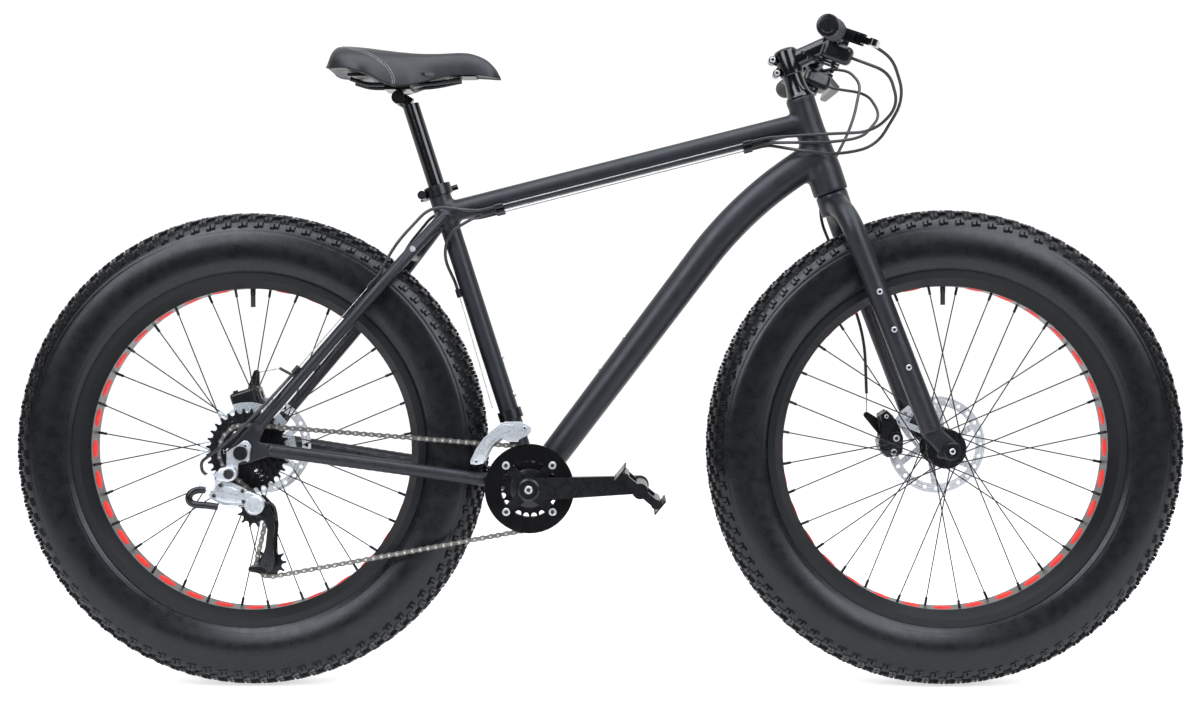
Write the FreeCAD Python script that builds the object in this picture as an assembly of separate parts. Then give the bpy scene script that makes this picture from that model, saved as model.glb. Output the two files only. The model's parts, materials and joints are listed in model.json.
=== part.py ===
import FreeCAD, Part
import math
import os

# Fat tire bike, all lengths in millimetres.
# X points forward, Y to the rider's left, Z up, with the origin on the floor half-way between the axles.

Vec = FreeCAD.Vector
ACROSS = Vec(0, 1, 0)
FULL_TURN = 360.0

# Layout of the whole bike
WHEELBASE = 1122.0
TIRE_RADIUS = 385.0
BB_DROP = 58.0
CHAINSTAY_LENGTH = 459.0
SEAT_ANGLE = 72.4
SEAT_TUBE_LENGTH = 509.0
HEAD_ANGLE = 71.9
FORK_OFFSET = 43.5
CROWN_HEIGHT = 448.0
LOWER_CUP_HEIGHT = 12.0
HEAD_LENGTH = 142.0
RUN_FIT = 0.05
RUN_GAP = 0.4
BEND_SHARE = 0.45

# Frame tubes
HEAD_TOP_RADIUS = 23.0
HEAD_FOOT_RADIUS = 28.5
HEAD_FOOT_HEIGHT = 26.0
HEAD_TAPER_HEIGHT = 70.0
HEAD_BORE = 19.0
TOP_RADIUS = 17.5
TOP_WALL = 1.8
TOP_SEAT_DROP = 46.8
TOP_HEAD_DROP = 32.0
DOWN_LOW_RADIUS = 23.0
DOWN_HIGH_RADIUS = 27.0
DOWN_WALL = 2.0
DOWN_LEAN = 4.0
DOWN_END_LEAN = 15.8
DOWN_HEAD_RISE = 53.0
DOWN_BEND_REACH = 110.0
DOWN_BEND_STEPS = 4
SEAT_TUBE_RADIUS = 16.0
SEAT_SLEEVE_RADIUS = 18.0
SEAT_SLEEVE_HEIGHT = 70.0
SHELL_RADIUS = 21.0
SHELL_BORE = 17.0
SHELL_WIDTH = 100.0

# Rear triangle, right side, mirrored for the left
REAR_INNER_WIDTH = 170.0
DROPOUT_THICKNESS = 7.0
DROPOUT_EYE_RADIUS = 19.0
DROPOUT_STAY_RADIUS = 10.5
STAY_TIP_SET = 88.0
CHAINSTAY_RADIUS = 11.0
STAY_WALL = 2.0
CHAINSTAY_TIP_REACH = 42.0
CHAINSTAY_TIP_RISE = 4.5
CHAINSTAY_SLOPE = 0.148
CHAINSTAY_BEND_SHARES = (0.50, 0.76, 0.87)
CHAINSTAY_BEND_SETS = (69.0, 65.0, 54.5)
CHAINSTAY_END_BACK = 10.0
CHAINSTAY_END_SET = 39.0
SEATSTAY_RADIUS = 9.5
SEATSTAY_TIP_REACH = 27.0
SEATSTAY_TIP_RISE = 43.0
SEATSTAY_BEND_SHARE = 0.70
SEATSTAY_BEND_SET = 71.0
SEATSTAY_BEND_DROP = 2.0
SEATSTAY_END_SET = 14.0
SEATSTAY_END_DROP = 50.0
BRIDGE_RADIUS = 7.0
BRIDGE_TIRE_GAP = 22.0

# Axles and wheels
AXLE_RADIUS = 5.0
NUT_RADIUS = 9.0
AXLE_NUT_LENGTH = 9.0
SKEWER_HEAD_RADIUS = 11.0
FRONT_INNER_WIDTH = 135.0
HUB_BODY_RADIUS = 15.0
HUB_BORE = 12.0
HUB_BEARING_WIDTH = 9.0
FLANGE_RADIUS = 32.0
FLANGE_THICKNESS = 4.0
SPOKE_CIRCLE_RADIUS = 28.0
FRONT_HUB_ENDS = (-58.5, 58.5)
FRONT_FLANGE_SETS = (-33.0, 33.0)
FRONT_ROTOR_SET = 57.0
REAR_HUB_ENDS = (-42.6, 71.4)
REAR_FLANGE_SETS = (-37.0, 44.0)
REAR_ROTOR_SET = 69.8
ROTOR_RADIUS = 80.0
ROTOR_BAND = 15.0
ROTOR_THICKNESS = 1.8
ROTOR_ARMS = 6
ROTOR_ARM_RADIUS = 5.0
ROTOR_EYE_RADIUS = 27.0
ROTOR_SEAT_RADIUS = 20.0
ROTOR_SEAT_LENGTH = 8.0
ROTOR_ARM_LEAN = 28.0
ROTOR_HOLES = 24
ROTOR_HOLE_RADIUS = 3.2
SPOKE_COUNT = 32
SPOKE_RADIUS = 1.0
SPOKE_LEAN = 60.0
SPOKE_SHOULDER_GAP = 1.6
SPOKE_HEAD_RADIUS = 1.9
SPOKE_HEAD_HEIGHT = 1.2
NIPPLE_RADIUS = 2.2
NIPPLE_LENGTH = 13.0
RIM_FLANGE_RADIUS = 286.5
RIM_SIDE_RADIUS = 274.5
RIM_BED_RADIUS = 261.0
RIM_BED_TOP_RADIUS = 264.0
RIM_SEAT_RADIUS = 279.5
RIM_HALF_WIDTH = 40.0
RIM_LIP_HALF_WIDTH = 37.0
RIM_LEDGE_HALF_WIDTH = 31.0
RIM_BED_HALF_WIDTH = 22.0
RIM_WELL_HALF_WIDTH = 19.5
RIM_HOLE_SET = 14.0
RIM_WINDOW_RADIUS = 8.0
RIM_WINDOW_REACH = 7.0
STRIP_THICKNESS = 1.0
STRIP_GAP = 0.3
STRIP_HALF_WIDTH = 18.5
TIRE_BEAD_RADIUS = 279.8
TIRE_BEAD_SET = 36.6
TIRE_NECK_RADIUS = 288.5
TIRE_NECK_SET = 38.0
TIRE_SIDE_RADIUS = 330.0
TIRE_HALF_WIDTH = 50.0
TIRE_SHOULDER_RADIUS = 368.0
TIRE_SHOULDER_SET = 40.0
TIRE_WALL = 4.0
TIRE_TREAD_WALL = 8.0
TUBE_SECTION_RADIUS = 35.0
TUBE_WALL = 1.2
VALVE_RADIUS = 4.25
VALVE_THREAD_RADIUS = 3.85
VALVE_THREAD_LENGTH = 20.0
VALVE_TIP_RADIUS = 231.0
VALVE_HOLE_GAP = 0.3

# Drivetrain
CHAIN_PITCH = 12.7
ROLLER_RADIUS = 3.9
ROLLER_HALF_WIDTH = 1.45
CHAIN_PIN_RADIUS = 1.8
CHAIN_PIN_HALF = 3.65
CHAIN_PLATE = 1.0
CHAIN_PLATE_RADIUS = 4.2
CHAIN_PLATE_GAP = 0.05
BISECTIONS = 40
CAGE_SEARCH = 25.0
TOOTH_HEIGHT = 3.0
TOOTH_TIP_SHARE = 0.09
TOOTH_SEAT_GAP = 0.35
TOOTH_SEAT_ANGLE = 62.0
RING_TEETH = 32
SMALL_RING_TEETH = 22
COG_TEETH = (11, 13, 15, 18, 21, 24, 28, 32)
CHAIN_COG = 4
PULLEY_TEETH = 11
COG_THICKNESS = 1.6
COG_PITCH = 4.8
COG_OUTER_SET = -79.6
FREEHUB_RADIUS = 16.5
FREEHUB_ENDS = (-81.5, -43.2)
LOCKRING_RADIUS = 15.0
LOCKRING_LENGTH = 2.0
COG_SLOTS = 6
COG_SLOT_ROOM = 18.0
COG_SLOT_SHARE = 0.28
PROTECTOR_RADIUS = 78.0
PROTECTOR_BORE = 17.0
PROTECTOR_COLLAR_RADIUS = 22.0
PROTECTOR_THICKNESS = 1.2
PROTECTOR_GAP = 0.8
RING_SET = -74.0
SMALL_RING_SET = -66.0
RING_THICKNESS = 1.6
RING_BORE = 45.0
SMALL_RING_BORE = 26.0
SPIDER_RADIUS = 52.0
SPIDER_TAB_RADIUS = 7.0
SPIDER_ROOT_RADIUS = 11.0
SPIDER_OUTER_SET = -80.0
SPIDER_ARMS = 4
SMALL_SPIDER_RADIUS = 32.0
SMALL_TAB_RADIUS = 5.0
BASH_RADIUS = 71.0
BASH_BORE = 45.0
BASH_THICKNESS = 4.0
RING_BOLT_RADIUS = 5.0
RING_BOLT_HEAD_RADIUS = 6.2
RING_BOLT_HEAD = 2.0
SPINDLE_RADIUS = 12.0
SPINDLE_BORE = 8.0
CUP_FLANGE_RADIUS = 20.5
CUP_FLANGE_WIDTH = 6.0
CUP_SLEEVE_WIDTH = 22.0
CRANK_LENGTH = 175.0
CRANK_LIFT = 2.5
CRANK_HUB_RADIUS = 18.0
CRANK_EYE_RADIUS = 14.0
CRANK_HUB_INNER_SET = 60.0
CRANK_INNER_SET = 86.0
CRANK_OUTER_SET = 101.0
CRANK_BOLT_RADIUS = 9.0
CRANK_BOLT_LENGTH = 3.0
PEDAL_AXLE_RADIUS = 6.0
PEDAL_AXLE_TIP = 196.0
PEDAL_TILT = 40.0
PEDAL_INNER_SET = 106.0
PEDAL_OUTER_SET = 200.0
PEDAL_BARREL_RADIUS = 12.0
PEDAL_BAR_RADIUS = 7.5
PEDAL_BAR_REACH = 31.0
PEDAL_WEB_WIDTH = 12.0
PEDAL_WEB_HALF_HEIGHT = 6.0
PEDAL_CAGE_HALF_HEIGHT = 13.0
PEDAL_CAGE_THICKNESS = 2.0
PEDAL_TEETH = 9
PEDAL_TOOTH_SHARE = 0.5
PEDAL_TOOTH_DEPTH = 4.0

# Rear derailleur
HANGER_SET = 92.0
HANGER_THICKNESS = 4.0
HANGER_ROOT_RADIUS = 15.0
B_BACK = 18.0
B_DROP = 32.0
B_EYE_RADIUS = 11.0
B_BOLT_RADIUS = 5.5
B_OUTER_SET = 110.0
LINK_BACK = 50.0
LINK_DROP = 52.0
LINK_SET = 102.0
KNUCKLE_BACK = 4.0
KNUCKLE_DROP = 73.0
KNUCKLE_SET = 86.0
LINK_EYE_RADIUS = 6.0
LINK_PIN_RADIUS = 2.2
LINK_HALF_HEIGHT = 8.0
LINK_SPREAD = 7.0
LINK_LUG = 3.5
LINK_LUG_RADIUS = 5.0
LINK_POST_GAP = 1.5
B_ARM_RADIUS = 6.5
B_ARM_LEAD = 15.0
B_BOLT_HEIGHT = 3.0
LINK_THICKNESS = 4.5
LINK_GAP = 0.4
PIVOT_AHEAD = 20.0
PIVOT_DROP = 83.0
KNUCKLE_RADIUS = 15.0
KNUCKLE_FACES = (-92.0, -70.0)
KNUCKLE_BORE_END = -88.0
CAGE_PIN_RADIUS = 4.0
GUIDE_BACK = 8.0
GUIDE_DROP = 14.0
TENSION_AHEAD = 22.0
TENSION_DROP = 95.0
CAGE_PLATE = 1.8
CAGE_HALF_WIDTH = 7.0
CAGE_EYE_RADIUS = 12.0
CAGE_TAIL_RADIUS = 4.0
CAGE_TAIL_BACK = 30.0
CAGE_TAIL_DROP = 13.0
PULLEY_HALF_WIDTH = 0.8
PULLEY_BORE = 3.5
PULLEY_PIN_RADIUS = 3.45
PULLEY_HUB_RADIUS = 8.0
PULLEY_HUB_HALF = 4.5

# Front derailleur
FD_CAGE_INNER_RADIUS = 74.0
FD_CAGE_DEPTH = 20.0
FD_CAGE_NOSE_ANGLE = 72.0
FD_CAGE_TAIL_ANGLE = 142.0
FD_INNER_SET = -64.5
FD_OUTER_SET = -80.5
FD_PLATE = 1.4
FD_CLAMP_RISE = 118.0
FD_CLAMP_RADIUS = 20.0
FD_CLAMP_HEIGHT = 16.0
FD_ARM_RADIUS = 7.0
FD_ARM_OUTER_SET = -50.0
FD_ARM_RISE = 106.0
FD_LINK_RADIUS = 4.0
FD_BRIDGE_RADIUS = 5.0
FD_BRIDGE_DEPTH_SHARE = 0.72
FD_BRIDGE_LEAD = 5.0
FD_LUG_ANGLE = 104.0
FD_LUG_INNER_SET = -61.0
FD_ARM_BORE_END = -28.0
FD_SLIDER_END = -40.0

# Fork and headset
STEERER_RADIUS = 14.3
STEERER_BORE = 12.0
CROWN_RADIUS = 26.0
CROWN_DEPTH = 34.0
LEG_RADIUS = 17.5
LEG_WALL = 2.5
LEG_ROOT_DROP = 17.0
LEG_ROOT_SET = 14.0
LEG_KNEE_DROP = 46.0
LEG_KNEE_SET = 70.0
LEG_KNEE_FORWARD = 6.0
LEG_FOOT_SET = 78.0
LEG_FOOT_BACK = 31.0
LEG_FOOT_RISE = 31.0
FORK_DROPOUT_RADIUS = 16.0
FORK_DROPOUT_STAY_RADIUS = 15.0
FORK_BOLT_SHARES = (0.35, 0.525, 0.70)
EYELET_RADIUS = 2.1
EYELET_BACK = 16.0
EYELET_RISE = -7.0
EYELET_PAD_RADIUS = 6.0
CUP_TOP_HEIGHT = 8.0
CUP_TOP_RADIUS = 23.5
SPACER_RADIUS = 18.0
COVER_FOOT_RADIUS = 23.0
COVER_HEIGHT = 12.0
TOP_CAP_HEIGHT = 4.0

# Stem, handlebar and grips
STEM_ABOVE_HEAD = 68.0
STEM_HEIGHT = 40.0
STEM_RADIUS = 20.0
STEM_LENGTH = 82.0
STEM_RISE = 6.0
STEM_NECK_RADIUS = 15.5
STEM_CLAMP_RADIUS = 21.0
STEM_CLAMP_HALF_WIDTH = 23.0
STEM_SPLIT = 1.6
STEM_LUG_REACH = 24.0
STEM_LUG_RADIUS = 6.5
STEM_LUG_HALF_WIDTH = 13.0
STEM_BOLT_RADIUS = 4.0
STEM_BOLT_HEAD = 3.0
STEM_FACE_BOLT_RISE = 18.3
STEM_FACE_BOLT_SET = 15.0
STEM_FACE_BOLT_HALF = 13.0
STEM_FACE_BOLT_RADIUS = 2.0
STEM_BOLT_SHARES = (-0.28, 0.28)
BAR_RADIUS = 11.1
BAR_BULGE_RADIUS = 15.9
BAR_BORE = 8.6
BAR_STRAIGHT_HALF = 75.0
BAR_BULGE_HALF = 36.0
BAR_BEND_SHARE = 0.25
BAR_HALF_WIDTH = 340.0
BAR_BACK = 50.0
BAR_DROOP = 31.0
GRIP_RADIUS = 16.0
GRIP_LENGTH = 128.0
GRIP_COLLAR_RADIUS = 17.5
GRIP_COLLAR_LENGTH = 6.0
PLUG_THICKNESS = 3.0

# Brake levers and shifters, in a frame that runs out along the bar
LEVER_DIP = 20.0
LEVER_CLAMP_PLACE = 150.0
CLAMP_HALF_WIDTH = 7.0
CLAMP_WALL = 4.5
LEVER_PIVOT_OUT = 16.0
LEVER_PIVOT_FORWARD = 40.0
LEVER_BODY_HALF_HEIGHT = 9.0
LEVER_BODY_RADIUS = 9.0
LEVER_PIN_RADIUS = 3.0
LEVER_HALF_THICKNESS = 5.0
LEVER_EYE_RADIUS = 8.0
LEVER_ELBOW_OUT = 44.0
LEVER_ELBOW_FORWARD = 66.0
LEVER_ELBOW_RADIUS = 6.5
LEVER_TIP_OUT = 112.0
LEVER_TIP_FORWARD = 66.0
LEVER_TIP_RADIUS = 6.0
LEVER_SLOT_GAP = 1.2
LEVER_JAW_INSET = 0.8
LEVER_JAW_SINK = 1.0
LEVER_SWEEP_ANGLE = 10.0
LEVER_SWEEP_SPREAD = 9.5
LEVER_BARREL_FORWARD = 22.0
BARREL_RADIUS = 5.0
BARREL_BACK = 34.0
BARREL_FORWARD = 34.0
POD_IN = 36.0
POD_HALF_WIDTH = 19.0
POD_FORWARD = 12.0
POD_HALF_DEPTH = 24.0
POD_TOP = 15.5
POD_BOTTOM = 44.0
POD_ROUND = 9.0
THUMB_THICKNESS = 4.0
THUMB_EYE_RADIUS = 10.0
THUMB_PAD_RADIUS = 8.0
THUMB_PIN_RADIUS = 3.0
THUMB_GAP = 0.5
THUMB_BACK = 44.0
THUMB_OUT = 16.0
TRIGGER_BACK = 34.0
TRIGGER_IN = 12.0

# Disc brakes, in a frame that points away from the axle
CALIPER_REACH = 79.0
CALIPER_LENGTH = 50.0
CALIPER_INNER_DEPTH = 20.0
CALIPER_OUTER_DEPTH = 22.0
CALIPER_BELOW = 17.0
CALIPER_ABOVE = 19.0
CALIPER_ROUND = 6.0
CALIPER_SLOT = 11.0
CALIPER_SLOT_ABOVE = 8.0
CALIPER_BOLT_REACH = 14.0
CALIPER_BOLT_SET = 11.0
PAD_THICKNESS = 4.2
PAD_RADIUS = 11.0
ARM_RADIUS = 13.0
ARM_TIP_RADIUS = 5.0
ARM_LENGTH = 46.0
ARM_THICKNESS = 6.0
ARM_PIN_RADIUS = 4.0
ARM_LEAN = 62.0
BRACKET_THICKNESS = 7.0
BRACKET_RADIUS = 7.5
BRACKET_STEP = 22.0
FRONT_BRACKET_GAP = 6.0
REAR_BRACKET_LEAD = 25.0
FRONT_CALIPER_ANGLE = 167.0
REAR_CALIPER_ANGLE = 108.0

# Saddle and seatpost
POST_RADIUS = 13.6
POST_BORE = 11.4
POST_RISE = 138.0
POST_DEPTH = 210.0
POST_BORE_DEPTH = 320.0
POST_HEAD_BACK = 14.0
POST_HEAD_RISE = 16.0
POST_HEAD_RADIUS = 11.0
POST_HEAD_HALF_WIDTH = 17.0
CLAMP_RADIUS = 22.0
CLAMP_HEIGHT = 17.0
CLAMP_EAR_RADIUS = 7.0
CLAMP_EAR_REACH = 26.0
CLAMP_EAR_HALF_WIDTH = 12.0
CLAMP_SLIT = 3.0
CLAMP_BOLT_RADIUS = 3.0
CLAMP_CAM_SET = 21.0
CLAMP_CAM_RADIUS = 8.5
CLAMP_CAM_HALF = 7.0
CLAMP_CAM_BORE = 2.5
CLAMP_EYE_RADIUS = 4.5
CLAMP_EYE_HALF = 3.0
CLAMP_LEVER_LENGTH = 56.0
CLAMP_LEVER_RADIUS = 4.5
CLAMP_LEVER_SET = 30.5
RAIL_RADIUS = 3.5
RAIL_SET = 22.0
RAIL_NOSE_SET = 12.0
RAIL_TAIL_SET = 30.4
RAIL_HALF_RUN = 50.0
RAIL_END_REACH = 50.0
CRADLE_HALF_LENGTH = 21.0
CRADLE_HALF_WIDTH = 27.0
CRADLE_THICKNESS = 5.0
CRADLE_BOLT_RADIUS = 3.0
CRADLE_BOLT_SHARE = 0.62
SADDLE_LENGTH = 277.0
SADDLE_TAIL_BACK = 112.0
SADDLE_HALF_WIDTH = 81.0
SADDLE_HEIGHT = 68.0
SADDLE_FOOT_RISE = 15.0
SADDLE_CAVITY_HALF_WIDTH = 36.0
SADDLE_CAVITY_SHARES = (0.12, 0.86)
SADDLE_PLACE_SHARES = (0.0, 0.07, 0.22, 0.42, 0.62, 0.85, 0.96, 1.0)
SADDLE_WIDTH_SHARES = (0.50, 0.84, 1.0, 0.72, 0.38, 0.27, 0.22, 0.12)
SADDLE_TOP_SHARES = (0.86, 1.10, 1.08, 0.88, 0.74, 0.68, 0.62, 0.50)
SADDLE_FOOT_SHARES = (0.42, 0.18, -0.02, -0.02, 0.02, 0.20, 0.26, 0.34)
SADDLE_FLANK_SHARE = 0.62
SADDLE_BASE_THICKNESS = 5.0

# Bolts, cable stops and cables
BOLT_HEAD_RADIUS = 4.5
BOLT_HEAD_HEIGHT = 3.0
BOLT_SINK = 4.0
BOTTLE_SPACING = 64.0
SEAT_BOTTLE_RISE = 148.0
DOWN_BOTTLE_RISE = 216.0
RACK_BOLT_SHARE = 0.45
STOP_RADIUS = 4.5
STOP_LENGTH = 14.0
STOP_SINK = 1.0
STOP_ANGLES = (30.0, 60.0, 90.0)
STOP_FRONT_REACH = 501.0
STOP_REAR_REACH = 88.0
SEAT_STOP_RISE = 332.0
STAY_STOP_SHARES = (0.92, 0.34)
HOUSING_RADIUS = 2.5
WIRE_RADIUS = 0.8
CABLE_LEAD = 12.0
STOP_LEAD = 26.0
GUIDE_LEAD = 32.0
FRONT_BRAKE_WIRE = 36.0
ENTRY_ANGLE = 150.0

# Steps from the bar, the seat tube's top, an axle or the bracket to the places that each cable bends at
REAR_SHIFT_FRONT = [(66, -146, -70), (88, -100, -117), (54, -58, -152), (-14, -37, -152)]
FRONT_SHIFT_FRONT = [(70, 128, -67), (84, 60, -112), (42, -24, -157), (-12, -38, -166), (-70, -31, -165)]
REAR_BRAKE_FRONT = [(42, -142, -28), (76, -118, -46), (100, -84, -102), (60, -46, -174), (-1, -40, -186),
                    (-62, -37, -178)]
FRONT_BRAKE_HIGH = [(42, 142, -28), (58, 118, -52), (38, 72, -127), (-8, 52, -212), (-20, 60, -276)]
FRONT_BRAKE_LOW = [(-141, 78, 255), (-115, 82.4, 175)]
REAR_SHIFT_BACK = [(48, -32, -41), (-4, -46, -35), (-58, -68, -96)]
FRONT_SHIFT_BACK = [(60, -26, -55), (22, -30, -77), (12, -12, -117)]
REAR_BRAKE_BACK = [(54, 30, -52), (-4, 46, -35), (-58, 68, -96)]
REAR_SHIFT_LOOP = [(47, -108, 83), (-11, -114, 23), (-61, -106, -13)]
REAR_BRAKE_END = (23, 95.2, 128)
FRONT_SHIFT_WIRE_END = (-62, -34, 125)


def polar(angle, length):
    """Return a step of a given length in the side view, the angle measured up from forward."""
    turn = math.radians(angle)
    return Vec(math.cos(turn) * length, 0, math.sin(turn) * length)


def at_set(point, y):
    """Return the same place in the side view, moved to a given distance across."""
    return Vec(point.x, y, point.z)


def rod(start, end, radius):
    axis = end - start
    return Part.makeCylinder(radius, axis.Length, start, axis)


def pipe(start, end, radius, bore):
    return rod(start, end, radius).cut(rod(start, end, bore))


def disc(centre, low, high, radius):
    """Return a round slab across the bike, from one distance across to another."""
    return Part.makeCylinder(radius, high - low, Vec(centre.x, low, centre.z), ACROSS)


def washer(centre, low, high, radius, bore):
    return disc(centre, low, high, radius).cut(disc(centre, low, high, bore))


def slab(outline, low, high):
    """Extrude a closed wire, drawn in the plane y = 0, across the bike."""
    face = Part.Face(outline)
    face.translate(Vec(0, low, 0))
    return face.extrude(Vec(0, high - low, 0))


def polygon(points):
    return Part.makePolygon(list(points) + [points[0]])


def link(first, first_radius, second, second_radius, low, high):
    """Return a bar across the bike that wraps two circles and the tangents between them."""
    gap = Vec(second.x - first.x, 0, second.z - first.z)
    heading = math.degrees(math.atan2(gap.z, gap.x))
    spread = math.degrees(math.acos((first_radius - second_radius) / gap.Length))
    first = at_set(first, 0)
    second = at_set(second, 0)
    near = [first + polar(heading + side * spread, first_radius) for side in (1, -1)]
    far = [second + polar(heading + side * spread, second_radius) for side in (1, -1)]
    back = first - polar(heading, first_radius)
    tip = second + polar(heading, second_radius)
    edges = [
        Part.LineSegment(near[0], far[0]).toShape(),
        Part.Arc(far[0], tip, far[1]).toShape(),
        Part.LineSegment(far[1], near[1]).toShape(),
        Part.Arc(near[1], back, near[0]).toShape(),
    ]
    return slab(Part.Wire(edges), low, high)


def route(points, bend_share):
    """Join points by straight runs and tangent arcs."""
    edges = []
    start = points[0]
    for before, corner, after in zip(points, points[1:], points[2:]):
        into = (corner - before).normalize()
        out = (after - corner).normalize()
        turn = into.getAngle(out)
        reach = bend_share * min((corner - before).Length, (after - corner).Length)
        radius = reach / math.tan(turn / 2)
        inward = (out - into).normalize()
        middle = corner + inward * (radius / math.cos(turn / 2) - radius)
        bend_start = corner - into * reach
        bend_end = corner + out * reach
        edges.append(Part.LineSegment(start, bend_start).toShape())
        edges.append(Part.Arc(bend_start, middle, bend_end).toShape())
        start = bend_end
    edges.append(Part.LineSegment(start, points[-1]).toShape())
    return Part.Wire(edges)


def bent_rod(points, radius, bend_share=BEND_SHARE):
    ring = Part.Wire(Part.makeCircle(radius, points[0], points[1] - points[0]))
    return route(points, bend_share).makePipeShell([ring], True, False)


def mirrored(shape):
    return shape.mirror(Vec(0, 0, 0), ACROSS)


def both(shape):
    return [shape, mirrored(shape)]


def turned(shape, centre, angle):
    """Return a copy turned about an axis across the bike, forward towards up."""
    copy = shape.copy()
    copy.rotate(at_set(centre, 0), ACROSS, -angle)
    return copy


def around(shape, centre, count):
    return [turned(shape, centre, FULL_TURN * index / count) for index in range(count)]


def fuse(shapes):
    solid = shapes[0].multiFuse(shapes[1:]) if len(shapes) > 1 else shapes[0]
    return solid.removeSplitter()


def cut(shape, tools):
    return shape.cut(Part.makeCompound(tools))


def framed(shape, origin, along, down, forward):
    """Place a shape drawn at the origin into a frame given by its three axes."""
    matrix = FreeCAD.Matrix(
        along.x, down.x, forward.x, origin.x,
        along.y, down.y, forward.y, origin.y,
        along.z, down.z, forward.z, origin.z,
        0, 0, 0, 1)
    copy = shape.copy()
    copy.Placement = FreeCAD.Placement(matrix).multiply(copy.Placement)
    return copy


def save(name, solids):
    shape = Part.makeCompound([solid for shape in solids for solid in shape.Solids])
    shape.exportStep(os.path.join("parts", name + ".step"))


# Places that the frame is built on
REAR_AXLE = Vec(-WHEELBASE / 2, 0, TIRE_RADIUS)
FRONT_AXLE = Vec(WHEELBASE / 2, 0, TIRE_RADIUS)
BB = REAR_AXLE + Vec(math.sqrt(CHAINSTAY_LENGTH ** 2 - BB_DROP ** 2), 0, -BB_DROP)
SEAT_UP = polar(FULL_TURN / 2 - SEAT_ANGLE, 1)
SEAT_BACK = polar(FULL_TURN * 3 / 4 - SEAT_ANGLE, 1)
SEAT_TOP = BB + SEAT_UP * SEAT_TUBE_LENGTH
STEER_UP = polar(FULL_TURN / 2 - HEAD_ANGLE, 1)
STEER_AHEAD = polar(FULL_TURN / 4 - HEAD_ANGLE, 1)
STEER_FOOT = FRONT_AXLE - STEER_AHEAD * FORK_OFFSET
HEAD_BOTTOM = CROWN_HEIGHT + LOWER_CUP_HEIGHT
HEAD_TOP = HEAD_BOTTOM + HEAD_LENGTH
STEM_LEVEL = HEAD_TOP + STEM_ABOVE_HEAD
TUBE_MIDDLE_RADIUS = (RIM_BED_TOP_RADIUS + STRIP_GAP + STRIP_THICKNESS + TIRE_RADIUS - TIRE_TREAD_WALL) / 2


def steer_at(level, ahead=0):
    """Return a place on the steering axis, or ahead of it, by its height along that axis."""
    return STEER_FOOT + STEER_UP * level + STEER_AHEAD * ahead


def seat_at(level, back=0):
    return BB + SEAT_UP * level + SEAT_BACK * back


DOWN_SPAN = steer_at(HEAD_BOTTOM + DOWN_HEAD_RISE) - BB
DOWN_CHORD_ANGLE = math.degrees(math.atan2(DOWN_SPAN.z, DOWN_SPAN.x))
DOWN_ANGLE = DOWN_CHORD_ANGLE + DOWN_LEAN
DOWN_END_ANGLE = DOWN_CHORD_ANGLE - DOWN_END_LEAN
DOWN_DIRECTION = polar(DOWN_ANGLE, 1)


def steer_cone(low, high, low_radius, high_radius):
    return Part.makeCone(low_radius, high_radius, high - low, steer_at(low), STEER_UP)


def head_block():
    """Return the head tube before it is bored."""
    taper = HEAD_BOTTOM + HEAD_FOOT_HEIGHT
    neck = taper + HEAD_TAPER_HEIGHT
    foot = rod(steer_at(HEAD_BOTTOM), steer_at(taper), HEAD_FOOT_RADIUS)
    cone = steer_cone(taper, neck, HEAD_FOOT_RADIUS, HEAD_TOP_RADIUS)
    top = rod(steer_at(neck), steer_at(HEAD_TOP), HEAD_TOP_RADIUS)
    return fuse([foot, cone, top])


def shell_block():
    return disc(BB, -SHELL_WIDTH / 2, SHELL_WIDTH / 2, SHELL_RADIUS)


def seat_block():
    tube = rod(BB, SEAT_TOP, SEAT_TUBE_RADIUS)
    sleeve = rod(seat_at(SEAT_TUBE_LENGTH - SEAT_SLEEVE_HEIGHT), SEAT_TOP, SEAT_SLEEVE_RADIUS)
    return fuse([tube, sleeve])


def down_path():
    """Return the places and headings that the down tube's round sections sit on."""
    end = BB + DOWN_SPAN
    turn = math.radians(DOWN_ANGLE - DOWN_END_ANGLE)
    heading = math.radians(DOWN_END_ANGLE)
    rise = DOWN_SPAN.z * math.cos(heading) - DOWN_SPAN.x * math.sin(heading)
    corner = BB + DOWN_DIRECTION * (rise / math.sin(turn))
    radius = DOWN_BEND_REACH / math.tan(turn / 2)
    bend_start = corner - DOWN_DIRECTION * DOWN_BEND_REACH
    centre = bend_start + polar(DOWN_ANGLE - FULL_TURN / 4, radius)
    path = [(BB, DOWN_ANGLE)]
    for step in range(DOWN_BEND_STEPS + 1):
        angle = DOWN_ANGLE - (DOWN_ANGLE - DOWN_END_ANGLE) * step / DOWN_BEND_STEPS
        path.append((centre + polar(angle + FULL_TURN / 4, radius), angle))
    path.append((end, DOWN_END_ANGLE))
    return path


def down_solid(inset):
    path = down_path()
    total = (path[-1][0] - BB).Length
    rings = []
    for place, angle in path:
        share = (place - BB).Length / total
        radius = DOWN_LOW_RADIUS + (DOWN_HIGH_RADIUS - DOWN_LOW_RADIUS) * share - inset
        rings.append(Part.Wire(Part.makeCircle(radius, place, polar(angle, 1))))
    lower = Part.makeLoft(rings[:2], True, True)
    upper = Part.makeLoft(rings[1:], True, False)
    return fuse([lower, upper])


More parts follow.
